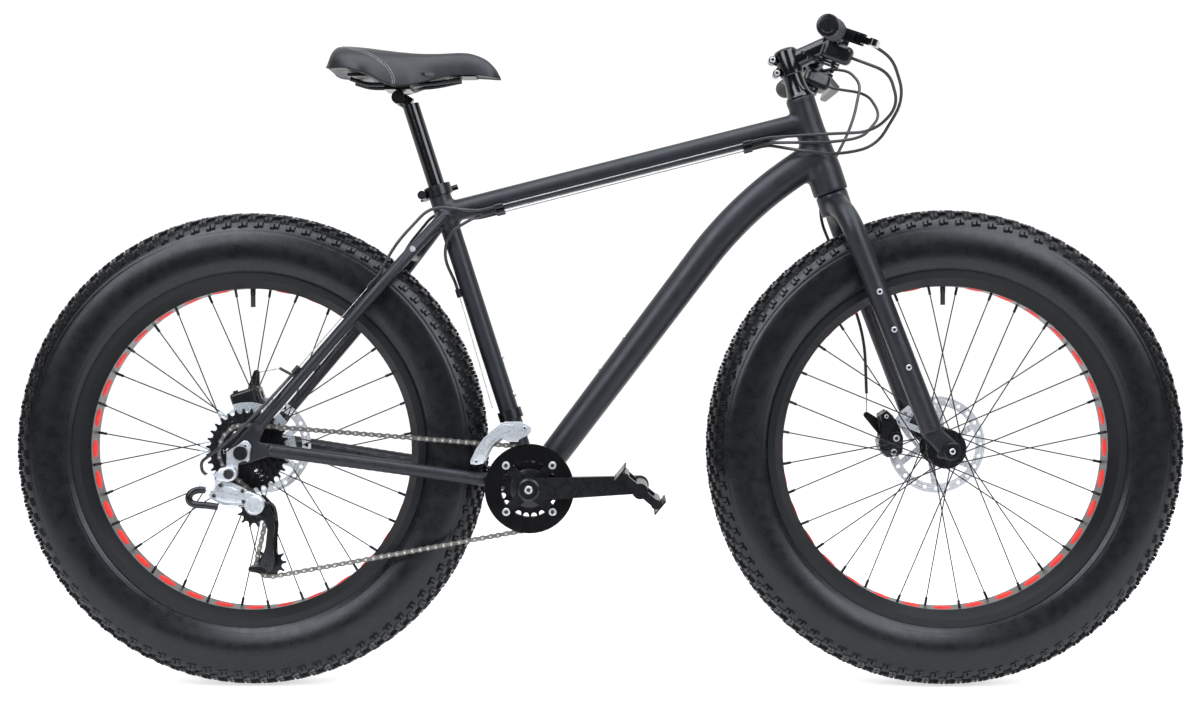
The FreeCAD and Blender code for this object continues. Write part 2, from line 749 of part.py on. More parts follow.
def stay_points():
    """Return the routes of the right chainstay and the right seatstay."""
    tip = REAR_AXLE + Vec(CHAINSTAY_TIP_REACH, -STAY_TIP_SET, CHAINSTAY_TIP_RISE)
    run = BB.x - tip.x
    chain = [tip]
    for share, set_out in zip(CHAINSTAY_BEND_SHARES, CHAINSTAY_BEND_SETS):
        chain.append(Vec(tip.x + run * share, -set_out, tip.z - run * share * CHAINSTAY_SLOPE))
    back = CHAINSTAY_END_BACK
    chain.append(Vec(BB.x - back, -CHAINSTAY_END_SET, tip.z - (run - back) * CHAINSTAY_SLOPE))
    foot = REAR_AXLE + Vec(SEATSTAY_TIP_REACH, -STAY_TIP_SET, SEATSTAY_TIP_RISE)
    head = at_set(seat_at(SEAT_TUBE_LENGTH - SEATSTAY_END_DROP), -SEATSTAY_END_SET)
    knee = foot + (head - foot) * SEATSTAY_BEND_SHARE
    knee = Vec(knee.x, -SEATSTAY_BEND_SET, knee.z - SEATSTAY_BEND_DROP)
    return chain, [foot, knee, head]


def right_dropout():
    inner = -REAR_INNER_WIDTH / 2
    outer = inner - DROPOUT_THICKNESS
    chain, seat = stay_points()
    arms = [link(REAR_AXLE, DROPOUT_EYE_RADIUS, stay[0], DROPOUT_STAY_RADIUS, outer, inner)
            for stay in (chain, seat)]
    return fuse(arms).cut(disc(REAR_AXLE, outer, inner, AXLE_RADIUS))


def frame_tubes():
    """Save the welded tubes, each cut where it meets the next."""
    head = head_block()
    shell = shell_block()
    seat = seat_block()
    down = down_solid(0)
    top_back = seat_at(SEAT_TUBE_LENGTH - TOP_SEAT_DROP)
    top_front = steer_at(HEAD_TOP - TOP_HEAD_DROP)
    top = rod(top_back, top_front, TOP_RADIUS)
    save("head_tube", [head.cut(rod(steer_at(HEAD_BOTTOM), steer_at(HEAD_TOP), HEAD_BORE))] + headset_cups())
    bored = shell.cut(disc(BB, -SHELL_WIDTH / 2, SHELL_WIDTH / 2, SHELL_BORE))
    save("bottom_bracket_shell", [bored] + bracket_cups())
    bore = rod(seat_at(SEAT_TUBE_LENGTH - POST_BORE_DEPTH), SEAT_TOP, POST_RADIUS + RUN_FIT)
    save("seat_tube", [cut(seat, [shell, bore])])
    save("down_tube", [cut(down, [head, shell, seat, down_solid(DOWN_WALL)])])
    hollow = rod(top_back, top_front, TOP_RADIUS - TOP_WALL)
    save("top_tube", [cut(top, [head, seat, hollow, down])])
    dropout = right_dropout()
    chain_points, seat_points = stay_points()
    cups = SHELL_WIDTH / 2 + CUP_FLANGE_WIDTH
    bracket = disc(BB, -cups, cups, SHELL_RADIUS)
    chainstay = cut(bent_rod(chain_points, CHAINSTAY_RADIUS), [dropout, bracket, seat])
    seatstay = cut(bent_rod(seat_points, SEATSTAY_RADIUS), [dropout, seat])
    bridge = stay_bridge(seat_points, seatstay)
    chainstay = chainstay.cut(bent_rod(chain_points, CHAINSTAY_RADIUS - STAY_WALL))
    seatstay = seatstay.cut(bent_rod(seat_points, SEATSTAY_RADIUS - STAY_WALL))
    stays = both(largest(chainstay)) + both(largest(seatstay))
    save("rear_triangle", stays + [bridge] + both(dropout))


def largest(shape):
    return max(shape.Solids, key=lambda solid: solid.Volume)


def stay_bridge(seat_points, seatstay):
    """Return the short tube that ties the seatstays together above the tire."""
    _, knee, head = seat_points
    reach = TIRE_RADIUS + BRIDGE_TIRE_GAP
    gap = at_set(knee - REAR_AXLE, 0)
    span = at_set(head - knee, 0)
    half = gap.dot(span) / span.Length
    travel = math.sqrt(half ** 2 + reach ** 2 - gap.Length ** 2) - half
    place = knee + (head - knee) * (travel / span.Length)
    bar = rod(place, at_set(place, -place.y), BRIDGE_RADIUS)
    return largest(cut(bar, both(seatstay)))


def headset_cups():
    """Return the headset cups with the bearing rings inside them."""
    upper_end = HEAD_TOP + CUP_TOP_HEIGHT
    lower_end = CROWN_HEIGHT + RUN_GAP
    slack = STEERER_RADIUS + RUN_FIT
    return [
        pipe(steer_at(HEAD_TOP), steer_at(upper_end), CUP_TOP_RADIUS, HEAD_BORE),
        pipe(steer_at(lower_end), steer_at(HEAD_BOTTOM), HEAD_FOOT_RADIUS, HEAD_BORE),
        pipe(steer_at(HEAD_TOP), steer_at(upper_end), HEAD_BORE, slack),
        pipe(steer_at(lower_end), steer_at(HEAD_BOTTOM), HEAD_BORE, slack)]


def bracket_cups():
    """Return the two cups that carry the crank spindle."""
    inner = SHELL_WIDTH / 2 - CUP_SLEEVE_WIDTH
    face = SHELL_WIDTH / 2
    outer = face + CUP_FLANGE_WIDTH
    cup = fuse([disc(BB, inner, face, SHELL_BORE), disc(BB, face, outer, CUP_FLANGE_RADIUS)])
    return both(cup.cut(disc(BB, inner, outer, SPINDLE_RADIUS + RUN_FIT)))


def ring_of(centre, corners):
    """Turn a closed outline of (radius, distance across) corners about an axle."""
    points = [Vec(centre.x + radius, across, centre.z) for radius, across in corners]
    return Part.Face(polygon(points)).revolve(centre, ACROSS, FULL_TURN)


def rim_section():
    half = [
        (RIM_FLANGE_RADIUS, RIM_LIP_HALF_WIDTH), (RIM_FLANGE_RADIUS, RIM_HALF_WIDTH),
        (RIM_SIDE_RADIUS, RIM_HALF_WIDTH), (RIM_BED_RADIUS, RIM_BED_HALF_WIDTH)]
    inner = [
        (RIM_BED_TOP_RADIUS, RIM_WELL_HALF_WIDTH), (RIM_SEAT_RADIUS, RIM_LEDGE_HALF_WIDTH),
        (RIM_SEAT_RADIUS, RIM_LIP_HALF_WIDTH)]
    outside = half + [(radius, -across) for radius, across in reversed(half)]
    inside = [(radius, -across) for radius, across in reversed(inner)] + inner
    return outside + inside


def make_rim(axle):
    """Return the rim with its row of windows and its valve hole."""
    rim = ring_of(axle, rim_section())
    ends = [Vec(-RIM_WINDOW_REACH, 0, 0), Vec(RIM_WINDOW_REACH, 0, 0)]
    slot = link(ends[0], RIM_WINDOW_RADIUS, ends[1], RIM_WINDOW_RADIUS, VALVE_TIP_RADIUS, RIM_SIDE_RADIUS)
    slot = framed(slot, axle, polar(FULL_TURN / 4, 1), polar(0, 1), ACROSS)
    top = SPOKE_COUNT // 4
    slots = [tool for index, tool in enumerate(around(slot, axle, SPOKE_COUNT)) if index != top]
    hole = rod(valve_tip(axle), valve_root(axle), VALVE_RADIUS + VALVE_HOLE_GAP)
    return cut(rim, slots + [hole])


def valve_tip(axle):
    return axle + polar(FULL_TURN / 4, VALVE_TIP_RADIUS)


def valve_root(axle):
    return axle + polar(FULL_TURN / 4, TUBE_MIDDLE_RADIUS - TUBE_SECTION_RADIUS + TUBE_WALL)


def make_strip(axle):
    low = RIM_BED_TOP_RADIUS + STRIP_GAP
    high = low + STRIP_THICKNESS
    half = STRIP_HALF_WIDTH
    strip = ring_of(axle, [(low, -half), (high, -half), (high, half), (low, half)])
    hole = rod(valve_tip(axle), valve_root(axle), VALVE_RADIUS + VALVE_HOLE_GAP)
    return strip.cut(hole)


def make_inner_tube(axle):
    """Return the hollow inner tube with its valve stem through the rim."""
    outer = Part.makeTorus(TUBE_MIDDLE_RADIUS, TUBE_SECTION_RADIUS, axle, ACROSS)
    hollow = Part.makeTorus(TUBE_MIDDLE_RADIUS, TUBE_SECTION_RADIUS - TUBE_WALL, axle, ACROSS)
    tip = valve_tip(axle)
    collar = tip + polar(FULL_TURN / 4, VALVE_THREAD_LENGTH)
    thread = rod(tip, collar, VALVE_THREAD_RADIUS)
    stem = rod(collar, valve_root(axle), VALVE_RADIUS)
    return fuse([outer, stem, thread]).cut(hollow)


def make_tire(axle):
    """Return the tire, an open ring whose beads sit inside the rim's lips."""
    def corner(radius, across):
        return Vec(axle.x + radius, across, axle.z)

    def side_arc(sign, inset, tread_inset):
        neck = corner(TIRE_NECK_RADIUS, sign * (TIRE_NECK_SET - inset))
        widest = corner(TIRE_SIDE_RADIUS, sign * (TIRE_HALF_WIDTH - inset))
        shoulder = corner(TIRE_SHOULDER_RADIUS - tread_inset, sign * (TIRE_SHOULDER_SET - inset))
        return neck, widest, shoulder

    left = side_arc(1, 0, 0)
    right = side_arc(-1, 0, 0)
    left_in = side_arc(1, TIRE_WALL, TIRE_TREAD_WALL)
    right_in = side_arc(-1, TIRE_WALL, TIRE_TREAD_WALL)
    crown = corner(TIRE_RADIUS, 0)
    crown_in = corner(TIRE_RADIUS - TIRE_TREAD_WALL, 0)
    toe = corner(TIRE_BEAD_RADIUS, TIRE_BEAD_SET)
    toe_in = corner(TIRE_BEAD_RADIUS, TIRE_BEAD_SET - TIRE_WALL)
    other = corner(TIRE_BEAD_RADIUS, -TIRE_BEAD_SET)
    other_in = corner(TIRE_BEAD_RADIUS, TIRE_WALL - TIRE_BEAD_SET)
    lip = corner(RIM_FLANGE_RADIUS, TIRE_BEAD_SET)
    lip_other = corner(RIM_FLANGE_RADIUS, -TIRE_BEAD_SET)
    edges = [
        Part.LineSegment(toe, lip), Part.LineSegment(lip, left[0]), Part.Arc(*left),
        Part.Arc(left[2], crown, right[2]), Part.Arc(*reversed(right)),
        Part.LineSegment(right[0], lip_other), Part.LineSegment(lip_other, other),
        Part.LineSegment(other, other_in), Part.LineSegment(other_in, right_in[0]),
        Part.Arc(*right_in), Part.Arc(right_in[2], crown_in, left_in[2]), Part.Arc(*reversed(left_in)),
        Part.LineSegment(left_in[0], toe_in), Part.LineSegment(toe_in, toe)]
    outline = Part.Wire([edge.toShape() for edge in edges])
    return Part.Face(outline).revolve(axle, ACROSS, FULL_TURN)


def spoke_places(axle, flange_sets):
    """Return each spoke's place in the hub flange, its rim end and the side of the flange it lies on."""
    places = []
    for index in range(SPOKE_COUNT):
        angle = FULL_TURN * (index + 0.5) / SPOKE_COUNT
        flange = flange_sets[index % 2]
        side = 1 if flange > 0 else -1
        trailing = 1 if (index // 2) % 2 else -1
        hub = at_set(axle + polar(angle + trailing * SPOKE_LEAN, SPOKE_CIRCLE_RADIUS), flange)
        rim = at_set(axle + polar(angle, RIM_BED_RADIUS), side * RIM_HOLE_SET)
        places.append((hub, rim, trailing))
    return places


def make_spokes(axle, flange_sets):
    """Return the spokes, each bent through its flange, with its nipple seated on the rim bed."""
    spokes = []
    bed = washer(axle, -RIM_BED_HALF_WIDTH, RIM_BED_HALF_WIDTH, RIM_SIDE_RADIUS, RIM_BED_RADIUS)
    wall = FLANGE_THICKNESS / 2
    shoulder = wall + SPOKE_RADIUS + SPOKE_SHOULDER_GAP
    for hub, rim, side in spoke_places(axle, flange_sets):
        elbow = hub + ACROSS * (side * shoulder)
        head = hub - ACROSS * (side * wall)
        along = (rim - elbow).normalize()
        nipple = rod(rim - along * NIPPLE_LENGTH, rim + along * NIPPLE_RADIUS, NIPPLE_RADIUS).cut(bed)
        pieces = [
            rod(elbow, rim - along * NIPPLE_RADIUS, SPOKE_RADIUS), largest(nipple),
            Part.makeSphere(SPOKE_RADIUS, elbow), rod(head, elbow, SPOKE_RADIUS),
            rod(head, head - ACROSS * (side * SPOKE_HEAD_HEIGHT), SPOKE_HEAD_RADIUS)]
        spokes.append(fuse(pieces))
    return spokes


def make_hub(axle, ends, flange_sets, rotor_set):
    """Return the hub shell, its two bearing rings and its rotor seat."""
    shell = [disc(axle, ends[0], ends[1], HUB_BODY_RADIUS)]
    for flange in flange_sets:
        shell.append(disc(axle, flange - FLANGE_THICKNESS / 2, flange + FLANGE_THICKNESS / 2, FLANGE_RADIUS))
    face = rotor_set - ROTOR_THICKNESS / 2
    shell.append(disc(axle, face - ROTOR_SEAT_LENGTH, face, ROTOR_SEAT_RADIUS))
    shell = fuse(shell).cut(disc(axle, ends[0], ends[1], HUB_BORE))
    holes = []
    for hub, _, _ in spoke_places(axle, flange_sets):
        low = hub.y - FLANGE_THICKNESS / 2
        holes.append(disc(hub, low, low + FLANGE_THICKNESS, SPOKE_RADIUS))
    shell = cut(shell, holes)
    slack = AXLE_RADIUS + RUN_FIT
    rings = [washer(axle, ends[0], ends[0] + HUB_BEARING_WIDTH, HUB_BORE, slack),
             washer(axle, ends[1] - HUB_BEARING_WIDTH, ends[1], HUB_BORE, slack)]
    return [shell] + rings


def make_rotor(axle, rotor_set):
    low = rotor_set - ROTOR_THICKNESS / 2
    high = low + ROTOR_THICKNESS
    band_radius = ROTOR_RADIUS - ROTOR_BAND
    band = washer(axle, low, high, ROTOR_RADIUS, band_radius)
    eye = disc(axle, low, high, ROTOR_EYE_RADIUS)
    root = axle + polar(0, ROTOR_SEAT_RADIUS)
    tip = axle + polar(ROTOR_ARM_LEAN, band_radius + ROTOR_ARM_RADIUS)
    arms = around(link(root, ROTOR_ARM_RADIUS, tip, ROTOR_ARM_RADIUS, low, high), axle, ROTOR_ARMS)
    spot = axle + polar(0, ROTOR_RADIUS - ROTOR_BAND / 2)
    holes = around(disc(spot, low, high, ROTOR_HOLE_RADIUS), axle, ROTOR_HOLES)
    bore = disc(axle, low, high, HUB_BODY_RADIUS)
    return cut(fuse([band, eye] + arms), holes + [bore])


def wheel(name, axle, ends, flange_sets, rotor_set, on_hub):
    """Save one wheel, piece by piece."""
    save(name + "_tire", [make_tire(axle)])
    save(name + "_inner_tube", [make_inner_tube(axle), make_strip(axle)])
    save(name + "_rim", [make_rim(axle)])
    save(name + "_spokes", make_spokes(axle, flange_sets))
    save(name + "_hub", make_hub(axle, ends, flange_sets, rotor_set) + on_hub)
    save(name + "_rotor", [make_rotor(axle, rotor_set)])


def make_axle(axle, inner_width, wall, nut_ends):
    """Return an axle with its lock nuts inside the dropouts and its skewer ends outside."""
    inner = inner_width / 2
    outer = inner + wall
    tip = outer + AXLE_NUT_LENGTH
    shaft = disc(axle, -outer, outer, AXLE_RADIUS)
    nuts = [disc(axle, -inner, nut_ends[0], NUT_RADIUS), disc(axle, nut_ends[1], inner, NUT_RADIUS)]
    heads = [disc(axle, -tip, -outer, SKEWER_HEAD_RADIUS), disc(axle, outer, tip, SKEWER_HEAD_RADIUS)]
    return fuse([shaft] + nuts + heads)


def pitch_radius(teeth):
    return CHAIN_PITCH / (2 * math.sin(math.pi / teeth))


def toothed(centre, teeth, low, high, bore, valley):
    """Return a toothed wheel with one valley at a given angle."""
    pitch = pitch_radius(teeth)
    seat = ROLLER_RADIUS + TOOTH_SEAT_GAP
    step = FULL_TURN / teeth
    tip_half = math.degrees(CHAIN_PITCH * TOOTH_TIP_SHARE / pitch)
    edges = []
    last = None
    for tooth in range(teeth):
        angle = valley + step * tooth
        middle = centre + polar(angle, pitch)
        into = angle + FULL_TURN / 2
        start = middle + polar(into + TOOTH_SEAT_ANGLE, seat)
        floor = middle + polar(into, seat)
        end = middle + polar(into - TOOTH_SEAT_ANGLE, seat)
        if last:
            edges.append(Part.LineSegment(last, start))
        else:
            first = start
        tips = [centre + polar(angle + step / 2 + side * tip_half, pitch + TOOTH_HEIGHT) for side in (-1, 1)]
        edges.append(Part.Arc(start, floor, end))
        edges.append(Part.LineSegment(end, tips[0]))
        edges.append(Part.LineSegment(*tips))
        last = tips[1]
    edges.append(Part.LineSegment(last, first))
    blank = slab(Part.Wire([edge.toShape() for edge in edges]), low, high)
    return blank.cut(disc(centre, low, high, bore))


# Places of the rear derailleur
B_PLACE = REAR_AXLE + Vec(-B_BACK, 0, -B_DROP)
LINK_ROOT = REAR_AXLE + Vec(-LINK_BACK, -LINK_SET, -LINK_DROP)
LINK_END = REAR_AXLE + Vec(-KNUCKLE_BACK, -KNUCKLE_SET, -KNUCKLE_DROP)
CAGE_PIVOT = REAR_AXLE + Vec(PIVOT_AHEAD, 0, -PIVOT_DROP)
COG_SET = COG_OUTER_SET + COG_PITCH * CHAIN_COG


def pulley_places(cage_angle):
    """Return the guide and tension pulley centres with the cage turned by an angle."""
    places = []
    for step in (Vec(-GUIDE_BACK, 0, -GUIDE_DROP), Vec(TENSION_AHEAD, 0, -TENSION_DROP)):
        heading = math.degrees(math.atan2(step.z, step.x)) + cage_angle
        places.append(CAGE_PIVOT + polar(heading, step.Length))
    return places


def chain_wheels(cage_angle):
    """Return centre, pitch radius, sense and distance across of each wheel in the chain's order."""
    guide, tension = pulley_places(cage_angle)
    pulley = pitch_radius(PULLEY_TEETH)
    return [
        (BB, pitch_radius(RING_TEETH), 1, RING_SET),
        (REAR_AXLE, pitch_radius(COG_TEETH[CHAIN_COG]), 1, COG_SET),
        (guide, pulley, -1, COG_SET),
        (tension, pulley, 1, COG_SET)]


def chain_path(cage_angle):
    """Return the chain's runs and wraps as a list of pieces with their lengths."""
    wheels = chain_wheels(cage_angle)
    headings = []
    for here, there in zip(wheels, wheels[1:] + wheels[:1]):
        gap = there[0] - here[0]
        lead = math.asin((there[2] * there[1] - here[2] * here[1]) / gap.Length)
        headings.append(math.degrees(math.atan2(gap.z, gap.x) - lead))
    pieces = []
    for index, (centre, radius, sense, across) in enumerate(wheels):
        start = headings[index - 1] - sense * FULL_TURN / 4
        sweep = (sense * (headings[index] - headings[index - 1])) % FULL_TURN
        pieces.append(("wrap", centre, radius, start, sense, sweep, across))
        after, radius_after, sense_after, across_after = wheels[(index + 1) % len(wheels)]
        leave = centre + polar(headings[index] - sense * FULL_TURN / 4, radius)
        arrive = after + polar(headings[index] - sense_after * FULL_TURN / 4, radius_after)
        pieces.append(("run", at_set(leave, across), at_set(arrive, across_after)))
    return pieces


def piece_length(piece):
    if piece[0] == "run":
        return at_set(piece[2] - piece[1], 0).Length
    return math.radians(piece[5]) * piece[2]


def place_on(pieces, travel):
    """Return the place that lies a given way along the chain's path."""
    for piece in pieces:
        length = piece_length(piece)
        if travel <= length:
            break
        travel -= length
    share = travel / length
    if piece[0] == "run":
        return piece[1] + (piece[2] - piece[1]) * share
    _, centre, radius, start, sense, sweep, across = piece
    return at_set(centre + polar(start + sense * sweep * share, radius), across)


def chain_pins(cage_angle):
    """Step pins along the path one pitch apart and return them with the gap left at the end."""
    pieces = chain_path(cage_angle)
    total = sum(piece_length(piece) for piece in pieces)
    loop = pieces + pieces[:2]
    travel = 0
    pins = [place_on(loop, travel)]
    while travel + CHAIN_PITCH / 2 < total:
        low = travel + CHAIN_PITCH / 2
        high = travel + CHAIN_PITCH * 3 / 2
        for _ in range(BISECTIONS):
            middle = (low + high) / 2
            if at_set(place_on(loop, middle) - pins[-1], 0).Length < CHAIN_PITCH:
                low = middle
            else:
                high = middle
        travel = low
        pins.append(place_on(loop, travel))
    return pins[:-1], travel - total


def rest_cage_angle():
    """Return the cage angle at which a whole, even number of links closes the chain."""
    pins, _ = chain_pins(0)
    count = 2 * round(len(pins) / 2)
    low, high = -CAGE_SEARCH, CAGE_SEARCH
    for _ in range(BISECTIONS):
        middle = (low + high) / 2
        pins, slack = chain_pins(middle)
        excess = slack + (count - len(pins)) * CHAIN_PITCH
        if excess > 0:
            high = middle
        else:
            low = middle
    return middle


CAGE_ANGLE = rest_cage_angle()
CHAIN_PINS = chain_pins(CAGE_ANGLE)[0]
GUIDE, TENSION = pulley_places(CAGE_ANGLE)


def valley_angle(centre, across):
    """Return the angle of the chain pin nearest to a wheel's centre, where a valley must lie."""
    close = min(CHAIN_PINS, key=lambda pin: (at_set(pin - centre, 0).Length, abs(pin.y - across)))
    return math.degrees(math.atan2(close.z - centre.z, close.x - centre.x))


def chain_plate(half, low, high):
    return link(Vec(-half, 0, 0), CHAIN_PLATE_RADIUS, Vec(half, 0, 0), CHAIN_PLATE_RADIUS, low, high)


def chain_links():
    """Return the chain, inner links with rollers and outer links with pins by turns."""
    half = CHAIN_PITCH / 2
    ends = [Vec(-half, 0, 0), Vec(half, 0, 0)]
    inner_low = ROLLER_HALF_WIDTH
    inner_high = inner_low + CHAIN_PLATE
    outer_low = inner_high + CHAIN_PLATE_GAP
    outer_high = outer_low + CHAIN_PLATE
    rollers = [disc(end, -inner_low, inner_low, ROLLER_RADIUS) for end in ends]
    inner = fuse(rollers + both(chain_plate(half, inner_low, inner_high)))
    inner = cut(inner, [disc(end, -inner_high, inner_high, CHAIN_PIN_RADIUS + RUN_FIT) for end in ends])
    pins = [disc(end, -CHAIN_PIN_HALF, CHAIN_PIN_HALF, CHAIN_PIN_RADIUS) for end in ends]
    outer = fuse(pins + both(chain_plate(half, outer_low, outer_high)))
    links = []
    for index, pin in enumerate(CHAIN_PINS):
        after = CHAIN_PINS[(index + 1) % len(CHAIN_PINS)]
        along = (after - pin).normalize()
        across = (ACROSS - along * along.dot(ACROSS)).normalize()
        shape = inner if index % 2 else outer
        links.append(framed(shape, (pin + after) * 0.5, along, across, along.cross(across)))
    return links


def cassette():
    """Save the cogs on their freehub body."""
    solids = [washer(REAR_AXLE, FREEHUB_ENDS[0], FREEHUB_ENDS[1], FREEHUB_RADIUS, AXLE_RADIUS + RUN_FIT)]
    for index, teeth in enumerate(COG_TEETH):
        low = COG_OUTER_SET + COG_PITCH * index - COG_THICKNESS / 2
        valley = valley_angle(REAR_AXLE, COG_SET) if index == CHAIN_COG else 0
        cog = toothed(REAR_AXLE, teeth, low, low + COG_THICKNESS, FREEHUB_RADIUS, valley)
        room = pitch_radius(teeth) - FREEHUB_RADIUS
        if room > COG_SLOT_ROOM:
            spot = REAR_AXLE + polar(0, FREEHUB_RADIUS + room / 2)
            slot = disc(spot, low, low + COG_THICKNESS, room * COG_SLOT_SHARE)
            cog = cut(cog, around(slot, REAR_AXLE, COG_SLOTS))
        solids.append(cog)
    end = FREEHUB_ENDS[0]
    solids.append(washer(REAR_AXLE, end - LOCKRING_LENGTH, end, LOCKRING_RADIUS, AXLE_RADIUS + RUN_GAP))
    save("cassette", solids)


def spoke_protector():
    """Return the clear disc that stands between the largest cog and the spokes."""
    face = COG_OUTER_SET + COG_PITCH * (len(COG_TEETH) - 1) + COG_THICKNESS / 2
    low = face + PROTECTOR_GAP
    flange = REAR_FLANGE_SETS[0] - FLANGE_THICKNESS / 2
    plate = disc(REAR_AXLE, low, low + PROTECTOR_THICKNESS, PROTECTOR_RADIUS)
    collar = disc(REAR_AXLE, low, flange, PROTECTOR_COLLAR_RADIUS)
    return fuse([plate, collar]).cut(disc(REAR_AXLE, low, flange, PROTECTOR_BORE))


def spider_places(radius):
    return [BB + polar(FULL_TURN * (index + 0.5) / SPIDER_ARMS, radius) for index in range(SPIDER_ARMS)]


def crank_arm(side):
    """Return one crank arm, drawn level and pointing forward, for the left side or the right."""
    low, high = sorted((side * CRANK_INNER_SET, side * CRANK_OUTER_SET))
    eye = BB + Vec(CRANK_LENGTH, 0, 0)
    hub_low, hub_high = sorted((side * CRANK_HUB_INNER_SET, side * CRANK_OUTER_SET))
    arm = link(BB, CRANK_HUB_RADIUS, eye, CRANK_EYE_RADIUS, low, high)
    return fuse([arm, disc(BB, hub_low, hub_high, CRANK_HUB_RADIUS)])


def crankset():
    """Save the cranks, the spindle, the rings, the bash ring, the bolts and the pedals."""
    ring_low = RING_SET - RING_THICKNESS / 2
    ring_high = ring_low + RING_THICKNESS
    small_high = SMALL_RING_SET + RING_THICKNESS / 2
    small_low = small_high - RING_THICKNESS
    right = turned(crank_arm(-1), BB, CRANK_LIFT)
    tabs = []
    for place in spider_places(SPIDER_RADIUS):
        tabs.append(link(BB, SPIDER_ROOT_RADIUS, place, SPIDER_TAB_RADIUS, SPIDER_OUTER_SET, ring_low))
    for place in spider_places(SMALL_SPIDER_RADIUS):
        tabs.append(link(BB, SPIDER_ROOT_RADIUS, place, SMALL_TAB_RADIUS, ring_low, small_low))
    eye = BB + polar(CRANK_LIFT, CRANK_LENGTH)
    bolt_places = spider_places(SPIDER_RADIUS)
    bolt_holes = [disc(place, SPIDER_OUTER_SET, ring_low, RING_BOLT_RADIUS) for place in bolt_places]
    spindle_hole = disc(BB, -CRANK_OUTER_SET, CRANK_OUTER_SET, SPINDLE_RADIUS)
    axle_hole = disc(eye, -CRANK_OUTER_SET, -CRANK_INNER_SET, PEDAL_AXLE_RADIUS)
    right = cut(fuse([right] + tabs), bolt_holes + [spindle_hole, axle_hole])
    left = turned(crank_arm(1), BB, CRANK_LIFT + FULL_TURN / 2)
    left_eye = BB - polar(CRANK_LIFT, CRANK_LENGTH)
    left_axle_hole = disc(left_eye, CRANK_INNER_SET, CRANK_OUTER_SET, PEDAL_AXLE_RADIUS)
    save("crank_arms", [right, cut(left, [spindle_hole, left_axle_hole])])
    tip = CRANK_OUTER_SET + CRANK_BOLT_LENGTH
    spindle = washer(BB, -CRANK_OUTER_SET, CRANK_OUTER_SET, SPINDLE_RADIUS, SPINDLE_BORE)
    caps = both(disc(BB, -tip, -CRANK_OUTER_SET, CRANK_BOLT_RADIUS))
    axles = [disc(eye, -PEDAL_AXLE_TIP, -CRANK_INNER_SET, PEDAL_AXLE_RADIUS),
             disc(left_eye, CRANK_INNER_SET, PEDAL_AXLE_TIP, PEDAL_AXLE_RADIUS)]
    save("crank_axles", [spindle] + caps + axles)
    holes = [disc(place, ring_low, ring_high, RING_BOLT_RADIUS) for place in bolt_places]
    valley = valley_angle(BB, RING_SET)
    large = cut(toothed(BB, RING_TEETH, ring_low, ring_high, RING_BORE, valley), holes)
    save("chainrings", [large, toothed(BB, SMALL_RING_TEETH, small_low, small_high, SMALL_RING_BORE, 0)])
    bash_low = SPIDER_OUTER_SET - BASH_THICKNESS
    bash_holes = [disc(place, bash_low, SPIDER_OUTER_SET, RING_BOLT_RADIUS) for place in bolt_places]
    save("bash_guard", [cut(washer(BB, bash_low, SPIDER_OUTER_SET, BASH_RADIUS, BASH_BORE), bash_holes)])
    bolts = []
    for place in bolt_places:
        shank = disc(place, bash_low, ring_high, RING_BOLT_RADIUS)
        head = disc(place, bash_low - RING_BOLT_HEAD, bash_low, RING_BOLT_HEAD_RADIUS)
        nut = disc(place, ring_high, ring_high + RING_BOLT_HEAD, RING_BOLT_HEAD_RADIUS)
        bolts.append(fuse([shank, head, nut]))
    save("chainring_bolts", bolts)
    pieces = pedal(eye)
    save("pedal_right", pieces)
    save("pedal_left", [moved(mirrored(piece), left_eye - eye) for piece in pieces])


def moved(shape, step):
    copy = shape.copy()
    copy.translate(step)
    return copy


def pedal(eye):
    """Return the right pedal's body and its two toothed cage plates, tilted nose down."""
    low = -PEDAL_OUTER_SET
    high = -PEDAL_INNER_SET
    pieces = [disc(eye, low, high, PEDAL_BARREL_RADIUS)]
    for side in (-1, 1):
        bar = eye + Vec(side * PEDAL_BAR_REACH, 0, 0)
        pieces.append(disc(bar, low, high, PEDAL_BAR_RADIUS))
    for start in (low, high - PEDAL_WEB_WIDTH):
        corner = Vec(eye.x - PEDAL_BAR_REACH, start, eye.z - PEDAL_WEB_HALF_HEIGHT)
        pieces.append(Part.makeBox(2 * PEDAL_BAR_REACH, PEDAL_WEB_WIDTH, 2 * PEDAL_WEB_HALF_HEIGHT, corner))
    body = fuse(pieces).cut(disc(eye, -PEDAL_AXLE_TIP - RUN_GAP, high, PEDAL_AXLE_RADIUS + RUN_FIT))
    plates = [pedal_plate(eye, side, low, high) for side in (-1, 1)]
    return [turned(piece, eye, -PEDAL_TILT) for piece in [body] + plates]


def pedal_plate(eye, side, low, high):
    """Return a thin upright plate along the pedal's edge with teeth cut in both long edges."""
    inner = eye.x + side * (PEDAL_BAR_REACH + PEDAL_BAR_RADIUS)
    start = min(inner, inner + side * PEDAL_CAGE_THICKNESS)
    corner = Vec(start, low, eye.z - PEDAL_CAGE_HALF_HEIGHT)
    plate = Part.makeBox(PEDAL_CAGE_THICKNESS, high - low, 2 * PEDAL_CAGE_HALF_HEIGHT, corner)
    pitch = (high - low) / PEDAL_TEETH
    gaps = []
    for tooth in range(PEDAL_TEETH):
        place = low + pitch * (tooth + PEDAL_TOOTH_SHARE / 2)
        for foot in (-PEDAL_CAGE_HALF_HEIGHT, PEDAL_CAGE_HALF_HEIGHT - PEDAL_TOOTH_DEPTH):
            gaps.append(Part.makeBox(PEDAL_CAGE_THICKNESS, pitch * PEDAL_TOOTH_SHARE, PEDAL_TOOTH_DEPTH,
                                     Vec(start, place, eye.z + foot)))
    return cut(plate, gaps)


